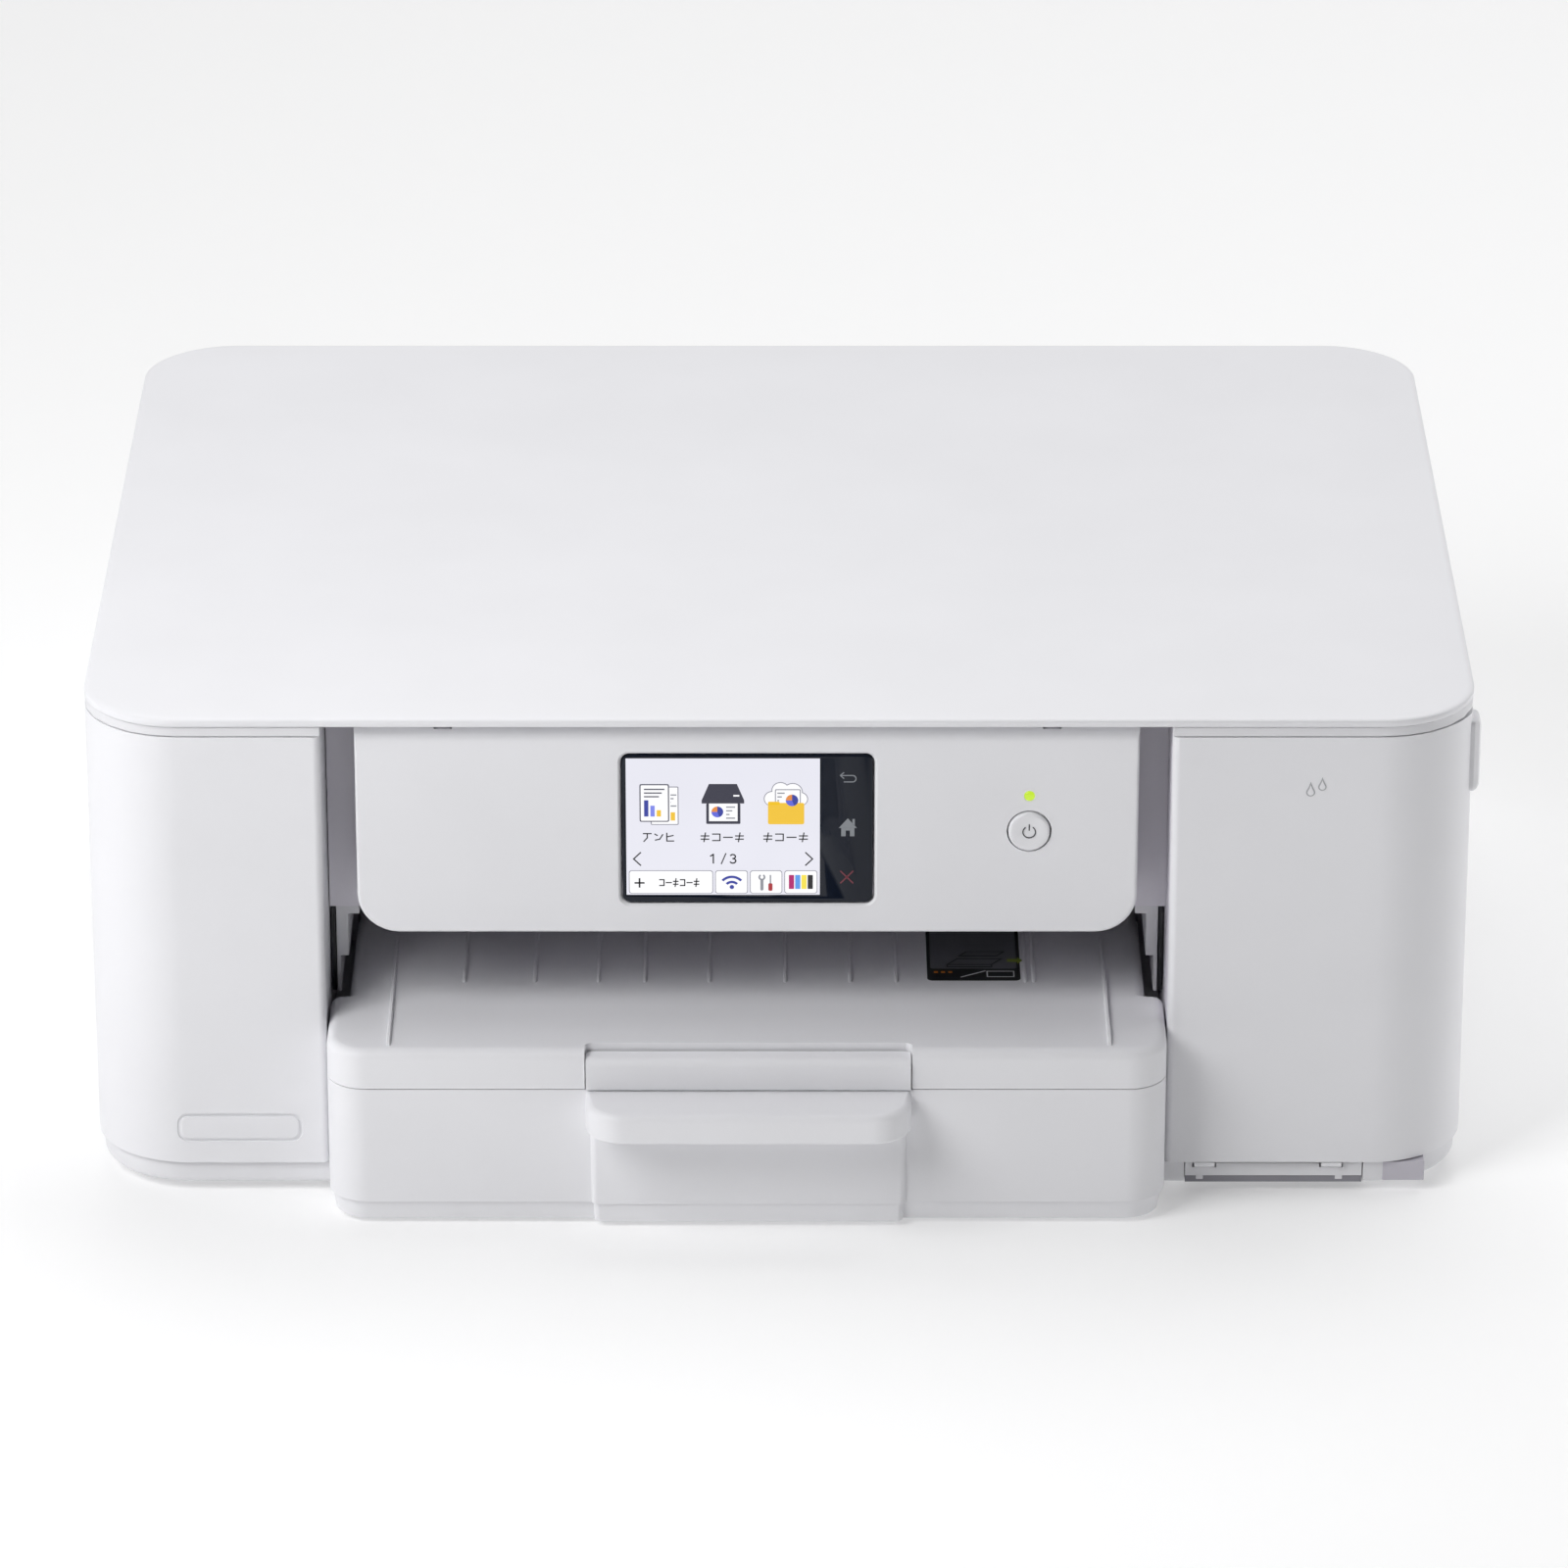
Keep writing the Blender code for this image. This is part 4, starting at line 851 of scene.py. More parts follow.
display_flare = [place(inset_front(DISPLAY_LOW, DISPLAY_HIGH, -d, 2.2 + d), y, "Y") for d, y in RIM_FLARE]
cut(
    panel,
    box(
        "hollow",
        (PANEL_LOW.x + 4, PANEL_HIGH.x - 4),
        (FACE + HOLLOW, -100),
        (PANEL_LOW.z + HOLLOW, AXIS_Z - 8),
    ),
    prism("display_way", display_way, (FACE - 1, -118), "Y"),
    loft("display_rim", display_flare),
    prism("button_way", circle(*BUTTON, BUTTON_RADIUS + 0.42), (-135, -118), "Y"),
    prism("light_way", circle(*LIGHT, 1.6, 32), (-135, -118), "Y"),
)
for middle in (-96.0, 78.0):
    cut(
        panel,
        box("ear_slot", (middle - 2.6, middle + 2.6), (FACE + 1.4, -100), (AXIS_Z - 16, 160)),
        prism("pin_hole", circle(AXIS_Y, AXIS_Z, 1.8, 24), (middle - 5.5, middle + 5.5), "X"),
    )
soften(panel, 0.25, 2, 40)
settle(panel, "control_panel", "casing_white", "control_panel")
# A black ring behind the gap round the power button is painted shade, so that the gap reads as a dark line
gap_shade_ring = prism("button_well_lining", circle(*BUTTON, BUTTON_RADIUS + 0.6), (-127.2, -126.0), "Y", BLACK)
cut(gap_shade_ring, prism("cap_way", circle(*BUTTON, BUTTON_RADIUS + 0.2), (-130, -120), "Y"))
settle(gap_shade_ring, "control_panel", "black_plastic")
# A bevelled surround sets the display off from the face
bezel_plan = [(DISPLAY_LOW.y + 8.8, 0.0), (DISPLAY_LOW.y + 0.3, 0.0)]
bezel_plan += [(DISPLAY_LOW.y + 0.08, 0.08), (DISPLAY_LOW.y, 0.3)]
bezel_rings = [place(inset_front(DISPLAY_LOW, DISPLAY_HIGH, d, 2.3 - d), y, "Y") for y, d in bezel_plan]
bezel = loft("display_bezel", bezel_rings, WINDOW)
SCREEN_U, SCREEN_V = (1.1, 56.7), (2.2, 45.1)
SCREEN_DEPTH = 0.4
LAYER = 0.05
origin_x, origin_z = DISPLAY_LOW.x, DISPLAY_LOW.z
screen_way = box(
    "screen_way",
    (origin_x + SCREEN_U[0], origin_x + SCREEN_U[1]),
    (DISPLAY_LOW.y - 1, DISPLAY_LOW.y + SCREEN_DEPTH),
    (origin_z + SCREEN_V[0], origin_z + SCREEN_V[1]),
)
cut(bezel, screen_way)
settle(bezel, "control_panel", "display_window", "display_module")

# The screen's picture: flat lit shapes in thin layers, u and v from the display's lower left corner
COLOURS = {
    "backdrop": "E6E6F0",
    "paper": "FBFBFD",
    "outline": "8C8C98",
    "ink_line": "B9B9C6",
    "navy": "2F2F40",
    "indigo": "2E3A9C",
    "periwinkle": "7C86E8",
    "violet": "5C64D8",
    "gold": "F0C22C",
    "orange": "E28A3A",
    "blue": "3F78DC",
    "sky": "5A9AE8",
    "magenta": "B0106A",
    "yellow": "F5E04A",
    "black": "18181C",
    "red": "A82830",
    "grey": "8E9098",
    "slate": "4A4A5A",
    "key_grey": "7E8287",
    "key_red": "6A2632",
}
art = {}


def paint(colour, layer, *outlines):
    art.setdefault((layer, colour), []).extend(outlines)


def stroke(points, width):
    """Short straight strips joined at their ends, as a pen would draw them."""
    strips = []
    for (u0, v0), (u1, v1) in zip(points, points[1:]):
        length = math.hypot(u1 - u0, v1 - v0)
        du, dv = (u1 - u0) / length, (v1 - v0) / length
        e, w = width * 0.35, width / 2
        ends = ((u0 - du * e, v0 - dv * e), (u1 + du * e, v1 + dv * e))
        (a, b), (c, d) = ends
        one_side = [(a + dv * w, b - du * w), (c + dv * w, d - du * w)]
        strips.append(one_side + [(c - dv * w, d + du * w), (a - dv * w, b + du * w)])
    return strips


def band(u, v, radius, width, start, end, steps=24):
    return arc(
        u, v, radius + width / 2, start, end, steps
    ) + arc(u, v, radius - width / 2, end, start, steps)


def sheet_of_paper(layer, u0, u1, v0, v1):
    paint("outline", layer, rectangle(u0, u1, v0, v1, 0.35, steps=3))
    paint("paper", layer + 1, rectangle(u0 + 0.28, u1 - 0.28, v0 + 0.28, v1 - 0.28, 0.2, steps=3))


def text_lines(layer, u0, u1, v_top, count, colour="ink_line"):
    for i in range(count):
        v = v_top - i * 1.15
        paint(colour, layer, rectangle(u0, u1 - (i % 3) * 0.8, v - 0.2, v + 0.2))


# Plain marks on a unit square, each a list of pen strokes, that stand where a caption would be
MARKS = (
    (((0.1, 0.85), (0.85, 0.85), (0.85, 0.15)), ((0.1, 0.15), (0.85, 0.15))),
    (((0.15, 0.95), (0.15, 0.1), (0.85, 0.1)), ((0.15, 0.55), (0.8, 0.7))),
    (((0.05, 0.5), (0.95, 0.5)),),
    (((0.1, 0.9), (0.9, 0.9)), ((0.5, 0.9), (0.5, 0.45), (0.15, 0.05))),
    (((0.1, 0.65), (0.9, 0.65)), ((0.1, 0.3), (0.9, 0.3)), ((0.55, 0.98), (0.4, 0.02))),
    (((0.15, 0.2), (0.6, 0.3), (0.9, 0.8)), ((0.1, 0.85), (0.35, 0.7))),
)


def glyph_row(layer, u_middle, v, width, height, count):
    pitch = width / count
    for i in range(count):
        u = u_middle - width / 2 + i * pitch
        for line in MARKS[(i * 2 + count) % len(MARKS)]:
            points = [(u + x * pitch * 0.86, v + (y - 0.5) * height) for x, y in line]
            paint("black", layer, *stroke(points, 0.36))


def pie(layer, u, v, radius):
    for colour, start, end in (("orange", 90, 180), ("violet", 180, 290), ("indigo", -70, 90)):
        paint(colour, layer, [(u, v)] + arc(u, v, radius, start, end, 14))


paint("backdrop", 0, rectangle(*SCREEN_U, *SCREEN_V))
# Copy: a page of text and bars, with a second page behind it
sheet_of_paper(1, 8.2, 16.2, 24.2, 36.2)
text_lines(3, 13.9, 15.6, 33.6, 4, "grey")
paint("gold", 3, rectangle(13.9, 15.2, 25.6, 28.2))
paint("slate", 3, rectangle(5.0, 13.5, 25.2, 37.0, 0.5, steps=3))
paint("paper", 4, rectangle(5.35, 13.15, 25.55, 36.65, 0.3, steps=3))
text_lines(5, 6.3, 12.2, 35.4, 3, "slate")
for colour, u, top in (("indigo", 6.3, 32.0), ("periwinkle", 8.1, 30.3), ("gold", 9.9, 28.9)):
    paint(colour, 5, rectangle(u, u + 1.25, 26.9, top))
# Scan: a raised lid over a page in a dark frame
paint("navy", 1, [(22.8, 30.9), (35.0, 30.9), (35.0, 31.9), (32.9, 37.0), (24.9, 37.0), (22.8, 31.9)])
paint("paper", 2, rectangle(31.9, 33.6, 33.1, 33.6))
paint("navy", 1, rectangle(24.1, 33.9, 24.5, 30.9, 0.3, steps=4))
paint("paper", 2, rectangle(24.9, 33.1, 25.4, 30.9))
pie(3, 27.3, 28.3, 1.7)
text_lines(3, 29.8, 32.4, 29.8, 4, "grey")
# Shared files: a cloud, a page in front of it and a folder
cloud = ((43.0, 32.4, 2.4), (45.4, 35.0, 2.6), (48.9, 34.4, 2.9), (51.1, 32.3, 2.2))
paint(
    "outline",
    1,
    *[circle(u, v, r, 28) for u, v, r in cloud],
    rectangle(42.4, 51.6, 30.0, 33.0, 0.5, steps=3),
)
paint(
    "paper",
    2,
    *[circle(u, v, r - 0.25, 28) for u, v, r in cloud],
    rectangle(42.6, 51.4, 30.3, 34.2, 0.4, steps=3),
)
sheet_of_paper(3, 43.8, 51.2, 28.0, 35.4)
pie(7, 48.7, 32.0, 1.8)
text_lines(5, 44.5, 46.6, 34.2, 3, "grey")
paint(
    "gold",
    6,
    rectangle(41.8, 52.2, 24.5, 31.2, 0.5, steps=3),
    rectangle(41.8, 45.2, 30.6, 31.6, 0.4, steps=3),
)
for u, width, count in ((10.7, 9.9, 3), (28.9, 13.2, 4), (47.1, 13.6, 4)):
    glyph_row(1, u, 20.3, width, 2.9, count)
# Page number between two arrows
for sign, tip in ((1, 3.2), (-1, 54.6)):
    paint("black", 1, *stroke([(tip + sign * 2.0, 15.5), (tip, 13.5), (tip + sign * 2.0, 11.5)], 0.4))
paint(
    "black",
    1,
    *stroke([(25.3, 14.4), (26.1, 14.95), (26.1, 12.2)], 0.42),
    *stroke([(28.4, 12.0), (29.7, 15.2)], 0.36),
)
turns = [[math.radians(a) for a in range(start, end, -30)] for start, end in ((150, -91), (60, -151))]
three = [(31.7 + math.cos(a) * 0.75, 14.25 + math.sin(a) * 0.65) for a in turns[0]]
three += [(31.7 + math.cos(a) * 0.85, 12.9 + math.sin(a) * 0.72) for a in turns[1]]
paint("black", 1, *stroke(three, 0.4))
# Buttons along the bottom
for u0, u1 in ((1.8, 26.0), (26.6, 36.0), (36.6, 45.9), (46.5, 56.0)):
    paint("outline", 1, rectangle(u0, u1, 2.6, 9.9, 0.8, steps=4))
    paint("paper", 2, rectangle(u0 + 0.2, u1 - 0.2, 2.8, 9.7, 0.7, steps=4))
paint("black", 3, rectangle(3.4, 6.3, 5.75, 6.25), rectangle(4.6, 5.1, 4.5, 7.5))
glyph_row(3, 16.4, 6.1, 11.9, 2.6, 6)
for radius in (2.0, 3.6):
    paint("indigo", 3, band(31.4, 4.3, radius, 0.75, 42, 138))
paint("indigo", 3, circle(31.4, 4.7, 0.65, 16))
paint("grey", 3, rectangle(39.6, 40.5, 3.6, 7.2, 0.4, steps=3), band(40.05, 7.8, 0.75, 0.5, 120, 420))
paint("grey", 3, rectangle(42.3, 42.7, 5.6, 8.5))
paint("red", 3, rectangle(41.9, 43.1, 3.5, 5.9, 0.4, steps=3))
for i, colour in enumerate(("magenta", "sky", "yellow", "black")):
    paint(colour, 3, rectangle(47.8 + i * 1.8, 49.3 + i * 1.8, 4.1, 8.5, 0.15, steps=2))
for (layer, colour), outlines in sorted(art.items()):
    back = DISPLAY_LOW.y + SCREEN_DEPTH - 0.02 - layer * LAYER
    placed = [[(origin_x + u, origin_z + v) for u, v in outline] for outline in outlines]
    shown = flat_shapes(
        "screen_%s_%d" % (colour, layer),
        placed,
        (back, back - LAYER * 0.6),
        "Y",
        lit("screen_" + colour, COLOURS[colour]),
    )
    settle(shown, "control_panel", "display_window")

# Touch keys beside the screen, lit from behind the window
art.clear()
paint(
    "key_grey",
    0,
    *stroke([(63.5, 40.7), (62.5, 39.8), (63.5, 38.9)], 0.3),
    *stroke([(62.6, 39.8), (66.0, 39.8)], 0.3),
)
paint("key_grey", 0, band(66.0, 38.8, 1.0, 0.3, -90, 90), *stroke([(66.0, 37.8), (63.6, 37.8)], 0.3))
paint("key_grey", 0, [(62.1, 23.4), (67.3, 23.4), (64.7, 26.4)], rectangle(66.0, 66.7, 24.2, 26.2))
paint(
    "key_grey",
    0,
    rectangle(62.8, 64.1, 20.8, 23.5),
    rectangle(65.3, 66.6, 20.8, 23.5),
    rectangle(64.0, 65.4, 22.6, 23.5),
)
paint("key_red", 0, *stroke([(62.7, 9.8), (66.2, 6.1)], 0.42), *stroke([(62.7, 6.1), (66.2, 9.8)], 0.42))
for (layer, colour), outlines in sorted(art.items()):
    placed = [[(origin_x + u, origin_z + v) for u, v in outline] for outline in outlines]
    front_y = DISPLAY_LOW.y
    shown = flat_shapes(
        "touch_" + colour,
        placed,
        (front_y + 0.02, front_y - 0.05),
        "Y",
        lit("touch_" + colour, COLOURS[colour], 0.9),
    )
    settle(shown, "control_panel", "display_window")

# Power button: a shallow dished cap with its symbol, and the light above it
cap_rings = [(BUTTON_RADIUS, -122.0), (BUTTON_RADIUS, BUTTON_LOW.y + 0.9)]
cap_rings += [(BUTTON_RADIUS - d, BUTTON_LOW.y + 0.9 - r) for d, r in round_over(0.9, 0.9, 6)[1:]]
cap_rings += [
    (4.4, BUTTON_LOW.y + 0.02),
    (3.4, BUTTON_LOW.y + 0.16),
    (2.0, BUTTON_LOW.y + 0.24),
    (0.8, BUTTON_LOW.y + 0.26),
]
cap = loft("power_button_cap", [place(circle(*BUTTON, r), y, "Y") for r, y in cap_rings], WHITE)
settle(cap, "power_button", "casing_white", "power_button")
symbol = [
    band(*BUTTON, 1.8, 0.32, 125, 415),
    *stroke([(BUTTON[0], BUTTON[1] + 0.6), (BUTTON[0], BUTTON[1] + 2.3)], 0.32),
]
mark = flat_shapes("power_symbol", symbol, (BUTTON_LOW.y + 0.3, BUTTON_LOW.y + 0.1), "Y", MARKING)
settle(mark, "power_button", "casing_grey")
lens_rings = [(1.45, -124.0), (1.45, FACE + 0.1), (1.3, FACE - 0.12), (0.9, FACE - 0.3), (0.4, FACE - 0.36)]
lens = loft("power_light_lens", [place(circle(*LIGHT, r, 32), y, "Y") for r, y in lens_rings], LENS)
settle(lens, "control_panel", "light_pipe", "power_light")

# ---------------------------------------------------------------- output tray, support and flap

HINGE_Y, HINGE_Z = -45.0, 51.5
WIDE_BACK, SLIM = -116.0, 5.2
tray_left, tray_right = CASSETTE_LOW.x, CASSETTE_HIGH.x
tray_front, tray_top = TRAY_LOW.y, 55.8
TRAY_CORNER = 11.5


def tray_plan(inset):
    outline = arc(tray_left + TRAY_CORNER, tray_front + TRAY_CORNER, TRAY_CORNER - inset, 180, 270, 12)
    outline += arc(tray_right - TRAY_CORNER, tray_front + TRAY_CORNER, TRAY_CORNER - inset, 270, 360, 12)
    outline += [(tray_right - inset, WIDE_BACK), (tray_right - SLIM - inset, WIDE_BACK + 1)]
    outline += [(tray_right - SLIM - inset, HINGE_Y), (tray_left + SLIM + inset, HINGE_Y)]
    return outline + [(tray_left + SLIM + inset, WIDE_BACK + 1), (tray_left + inset, WIDE_BACK)]


tray_rings = [(0.0, 43.9)] + [(inset, tray_top - 3.0 + rise) for inset, rise in round_over(3.2, 3.0, 10)]
tray = loft("output_tray_moulding", [place(tray_plan(d), z) for d, z in tray_rings], WHITE)
SKIN = tray_top - 3.0
flap_x = (FLAP_LOW.x, FLAP_HIGH.x)
way = rectangle(flap_x[0] - GAP, flap_x[1] + GAP, tray_front - 8, -147.0, 0, 2.0)
cut(
    tray,
    box("underside", (tray_left + 8, tray_right - 8), (tray_front + 3, -20), (40, SKIN)),
    prism("flap_way", way, (30, 70)),
    box("ear_way", (tray_left - 1, tray_left + SLIM + 0.8), (-60, -30), (30, 70)),
    box("ear_way", (tray_right - SLIM - 0.8, tray_right + 1), (-60, -30), (30, 70)),
)
barrel = prism(
    "barrel", circle(HINGE_Y, HINGE_Z, 2.6, 32), (tray_left + SLIM + 1, tray_right - SLIM - 1), "X"
)
runners = [
    box("runner", (SUPPORT_LOW.x - 2.5, SUPPORT_LOW.x - 0.5), (-146, -50), (47, SKIN + 1)),
    box("runner", (SUPPORT_HIGH.x + 0.5, SUPPORT_HIGH.x + 2.5), (-146, -50), (47, SKIN + 1)),
]
join(tray, barrel, *runners)
soften(tray, 0.12, 2, 50)
settle(tray, "output_tray", "casing_white", "output_tray")

RIB_XS = (-92.0, -71.4, -52.8, -39.3, -20.5, 1.8, 20.7, 34.2, 71.9, 74.4)
rib_points = [(x, -106.0, tray_top) for x in RIB_XS]
ribs = on_points("tray_ribs", rib("rib", WHITE, 50.0, 1.5, 0.7, 0.95), rib_points)
settle(ribs, "output_tray", "casing_white")


def slanted_rail(name, x0, x1, y0, y1):
    """A long low rail down one side of the paper's way, leaning slightly."""
    rings = []
    for t, lift in ((0.0, 0.1), (0.006, 0.75), (0.02, 1.15), (0.96, 1.15), (0.98, 0.7), (1.0, 0.05)):
        x, y = x0 + (x1 - x0) * t, y0 + (y1 - y0) * t
        section = ((-0.7, -0.2), (0.7, -0.2), (0.3, lift), (-0.3, lift))
        rings.append([(x + u, y, tray_top + v) for u, v in section])
    return loft(name, rings, WHITE)


settle(slanted_rail("tray_side_rail_left", -112.4, -112.8, -149.0, -74.0), "output_tray", "casing_white")
settle(slanted_rail("tray_side_rail_right", 95.1, 95.0, -149.0, -74.0), "output_tray", "casing_white")

# Printed guide sticker on the tray: a plain picture of a paper stack going in, no words
LABEL_X, LABEL_Y = (43.3, 70.6), (-104.7, -64.0)
# Its shapes are measured from the sticker's front left corner
STICKER_WIDE, STICKER_DEEP = LABEL_X[1] - LABEL_X[0], LABEL_Y[1] - LABEL_Y[0]
stack = [(6, 11), (19, 11), (22, 15), (9, 15), (6, 11)]
stack_front = [(6, 11), (6, 9.4), (19, 9.4), (19, 11)]
stack_above = [(9.6, 17), (20.6, 17), (22.8, 20), (11.8, 20), (9.6, 17)]
way_in = [(23.6, 12.8), (26.6, 12.8), (26.6, 11.6), (28.2, 13.8), (26.6, 16.0), (26.6, 14.8), (23.6, 14.8)]
turned_page = [(17.6, 2.6), (25.4, 2.6), (25.4, 6.4), (17.6, 6.4), (17.6, 2.6)]
sticker = {
    (0, "black"): [rectangle(0, STICKER_WIDE, 0, STICKER_DEEP, 1.6)],
    (1, "grey"): [rectangle(1, STICKER_WIDE - 1, 8.2, STICKER_DEEP - 1, 1.0)],
    (2, "black"): stroke(stack, 0.5) + stroke(stack_front, 0.5) + stroke(stack_above, 0.5),
    (2, "olive"): [way_in],
    (1, "orange"): [rectangle(2.0 + i * 2.1, 3.2 + i * 2.1, 5.2, 6.4) for i in range(3)],
    (1, "white"): stroke([(10.0, 2.4), (17.0, 6.6)], 0.5) + stroke(turned_page, 0.4),
}
for (layer, colour), outlines in sticker.items():
    low = tray_top + 0.02 + layer * 0.05
    placed = [[(LABEL_X[0] + u, LABEL_Y[0] + v) for u, v in outline] for outline in outlines]
    name = "tray_sticker_%s_%d" % (colour, layer)
    settle(
        flat_shapes(name, placed, (low, low + 0.05), "Z", LABEL_COLOURS[colour]),
        "output_tray",
        "casing_grey",
    )

refined("paper_support", "paper_support_plate", WHITE, "casing_white", 0.5, 3)
flap_top, flap_front, flap_back = FLAP_HIGH.z, FLAP_LOW.y, FLAP_HIGH.y
flap_side = [(flap_back, FLAP_LOW.z), (flap_back, flap_top)] + arc(
    flap_front + 2.5, flap_top - 2.5, 2.5, 90, 180, 12
)
flap_side.append((flap_front, FLAP_LOW.z))
flap = prism("stopper_flap_moulding", flap_side, flap_x, "X", WHITE)
flap_plan = rectangle(*flap_x, flap_front - 5, flap_back, 0, 1.9)
combine(flap, "INTERSECT", [prism("flap_plan", flap_plan, (10, 70))])
settle(soften(flap, 0.25, 3), "stopper_flap", "casing_white", "stopper_flap")

# ---------------------------------------------------------------- paper cassette

NARROW, SHOULDER, CASSETTE_TOP = 2.6, -62.0, 43.6
c_left, c_right, c_back, c_low = CASSETTE_LOW.x, CASSETTE_HIGH.x, CASSETTE_HIGH.y, CASSETTE_LOW.z
C_FRONT, BULGE_FRONT, HANDLE_FRONT = -153.0, -156.0, CASSETTE_LOW.y
STEP_Z = 7.6


def cassette_plan(inset):
    outline = arc(c_left + TRAY_CORNER, C_FRONT + TRAY_CORNER, TRAY_CORNER - inset, 180, 270, 12)
    outline += arc(c_right - TRAY_CORNER, C_FRONT + TRAY_CORNER, TRAY_CORNER - inset, 270, 360, 12)
    outline += [(c_right - inset, SHOULDER), (c_right - NARROW - inset, SHOULDER)]
    outline += [(c_right - NARROW - inset, c_back), (c_left + NARROW + inset, c_back)]
    return outline + [(c_left + NARROW + inset, SHOULDER), (c_left + inset, SHOULDER)]


levels = ((2.1, c_low), (1.8, c_low + 0.3), (0.7, STEP_Z), (0.05, STEP_Z + 0.1), (0.0, STEP_Z + 0.3))
levels += ((0.0, CASSETTE_TOP - 0.15), (0.1, CASSETTE_TOP))
cassette = loft("paper_cassette_moulding", [place(cassette_plan(d), z) for d, z in levels], WHITE)
bulge = [
    place(rectangle(flap_x[0] + d, flap_x[1] - d, BULGE_FRONT + d, C_FRONT + 4, 1.8, 0), z)
    for d, z in ((2.6, c_low + 0.05), (2.2, c_low + 0.4), (1.9, STEP_Z), (1.4, STEP_Z + 0.15), (1.1, 36.0))
]
handle_rings = [(d, 34.5 + 0.9 - r) for d, r in reversed(round_over(0.9, 0.9, 6))]
handle_rings += [(d, CASSETTE_TOP - 0.2 - 2.2 + r) for d, r in round_over(2.2, 2.2, 6)]
handle = []
for d, z in handle_rings:
    outline = arc(flap_x[0] + 11, HANDLE_FRONT + 11, 11 - d, 180, 270, 12)
    outline += arc(flap_x[1] - 11, HANDLE_FRONT + 11, 11 - d, 270, 360, 12)
    outline += [(flap_x[1] - 0.01, C_FRONT + 5), (flap_x[0] + 0.01, C_FRONT + 5)]
    handle.append(place(outline, z))
flanges = [
    box("left_flange", (c_left + 0.1, c_left + NARROW + 1), (SHOULDER + 1, c_back - 1), (29.3, 32)),
    box("right_flange", (c_right - NARROW - 1, c_right - 0.1), (SHOULDER + 1, c_back - 1), (29.3, 32)),
]
join(cassette, loft("bulge", bulge), loft("handle", handle), *flanges)
inner_side = NARROW + 2.5
room = rectangle(c_left + inner_side, c_right - inner_side, C_FRONT + 3, c_back - 2.5, 9, 0)
paper_room = prism("paper_room", room, (4.2, 60))
cut(cassette, paper_room, box("rear_notch", (-34, 16), (c_back - 10, c_back + 5), (11, 60)))
ears = [
    box("left_ear", (c_left + NARROW + 0.2, c_left + NARROW + 2.2), (-50, -40), (CASSETTE_TOP - 4, 54)),
    box("right_ear", (c_right - NARROW - 2.2, c_right - NARROW - 0.2), (-50, -40), (CASSETTE_TOP - 4, 54)),
]
join(cassette, *ears)
soften(cassette, 0.12, 2, 50)
settle(cassette, "paper_cassette", "casing_white", "paper_cassette")
# Floor ribs that the paper stack slides on, and size marks beside the guides
floor_ribs = repeated(
    "cassette_floor_ribs", rib("rib", WHITE, 250.0, 1.2, 0.5, 0.25), (-84, -125, 4.2), (24.9, 0, 0), 7
)
settle(floor_ribs, "paper_cassette", "casing_white")
ticks = [
    rectangle(x, x + 0.35, -146, -146 + (4 if i % 5 == 0 else 2.4))
    for i, x in enumerate(range(-100, 84, 5))
]
settle(flat_shapes("paper_size_marks", ticks, (4.22, 4.3), "Z", MARKING), "paper_cassette", "casing_grey")
for node in ("width_guide_left", "width_guide_right", "length_guide"):
    refined(node, node + "_moulding", INNER_AND_SHADE, "inner_grey", 0.4, 2)

# ---------------------------------------------------------------- base and feet

BASE_INSET, BASE_BOTTOM, SKIRT_TOP = 1.5, 3.0, 10.0
RECESS_X = (118.4, 170.0)  # the ink door's hinge recess
skirt_levels = ((1.5, BASE_BOTTOM), (1.1, BASE_BOTTOM + 0.15), (0.4, 3.9))
skirt_levels += ((0.0, 4.9), (0.0, 9.8), (0.2, SKIRT_TOP))
skirt = [place(body_plan(BASE_INSET + d), z) for d, z in skirt_levels]
base = loft("base_moulding", skirt, BASE)
wall_left, wall_right = BAY_LEFT - WALL, BAY_RIGHT + WALL
LIP, FLOOR_Z = 4.0, 6.0
far = HALF_WIDTH - BASE_INSET - LIP
cut(
    base,
    box("cassette_way", (BAY_LEFT, BAY_RIGHT), (-140, 158), (0, 20)),
    prism("left_tray", rectangle(-far, wall_left - 2, BODY_FRONT + 6, 155, 14), (FLOOR_Z, 20)),
    prism("right_tray", rectangle(wall_right + 2, far, BODY_FRONT + 6, 155, 14), (FLOOR_Z, 20)),
    box("door_relief", (RECESS_X[0] - 0.3, RECESS_X[1] + 0.3), (-140, -124), (0, 20)),
)
DECK_BACK = 162.0
join(
    base,
    box("left_wall", (wall_left, BAY_LEFT), (SHOULDER + GAP, DECK_BACK), (8, 59.5)),
    box("right_wall", (BAY_RIGHT, wall_right), (SHOULDER + GAP, DECK_BACK), (8, 59.5)),
    box("deck", (wall_left, wall_right), (-20, DECK_BACK), (57, 59.5)),
    box("left_rail", (BAY_LEFT - 1, BAY_LEFT + 2), (-56, 150), (26, 29)),
    box("right_rail", (BAY_RIGHT - 2, BAY_RIGHT + 1), (-56, 150), (26, 29)),
)
cut(base, box("arm_window", (-32, 14), (62, 140), (50, 70)))
soften(base, 0.25, 2, 45)
settle(base, "root", "casing_white", "base_chassis")
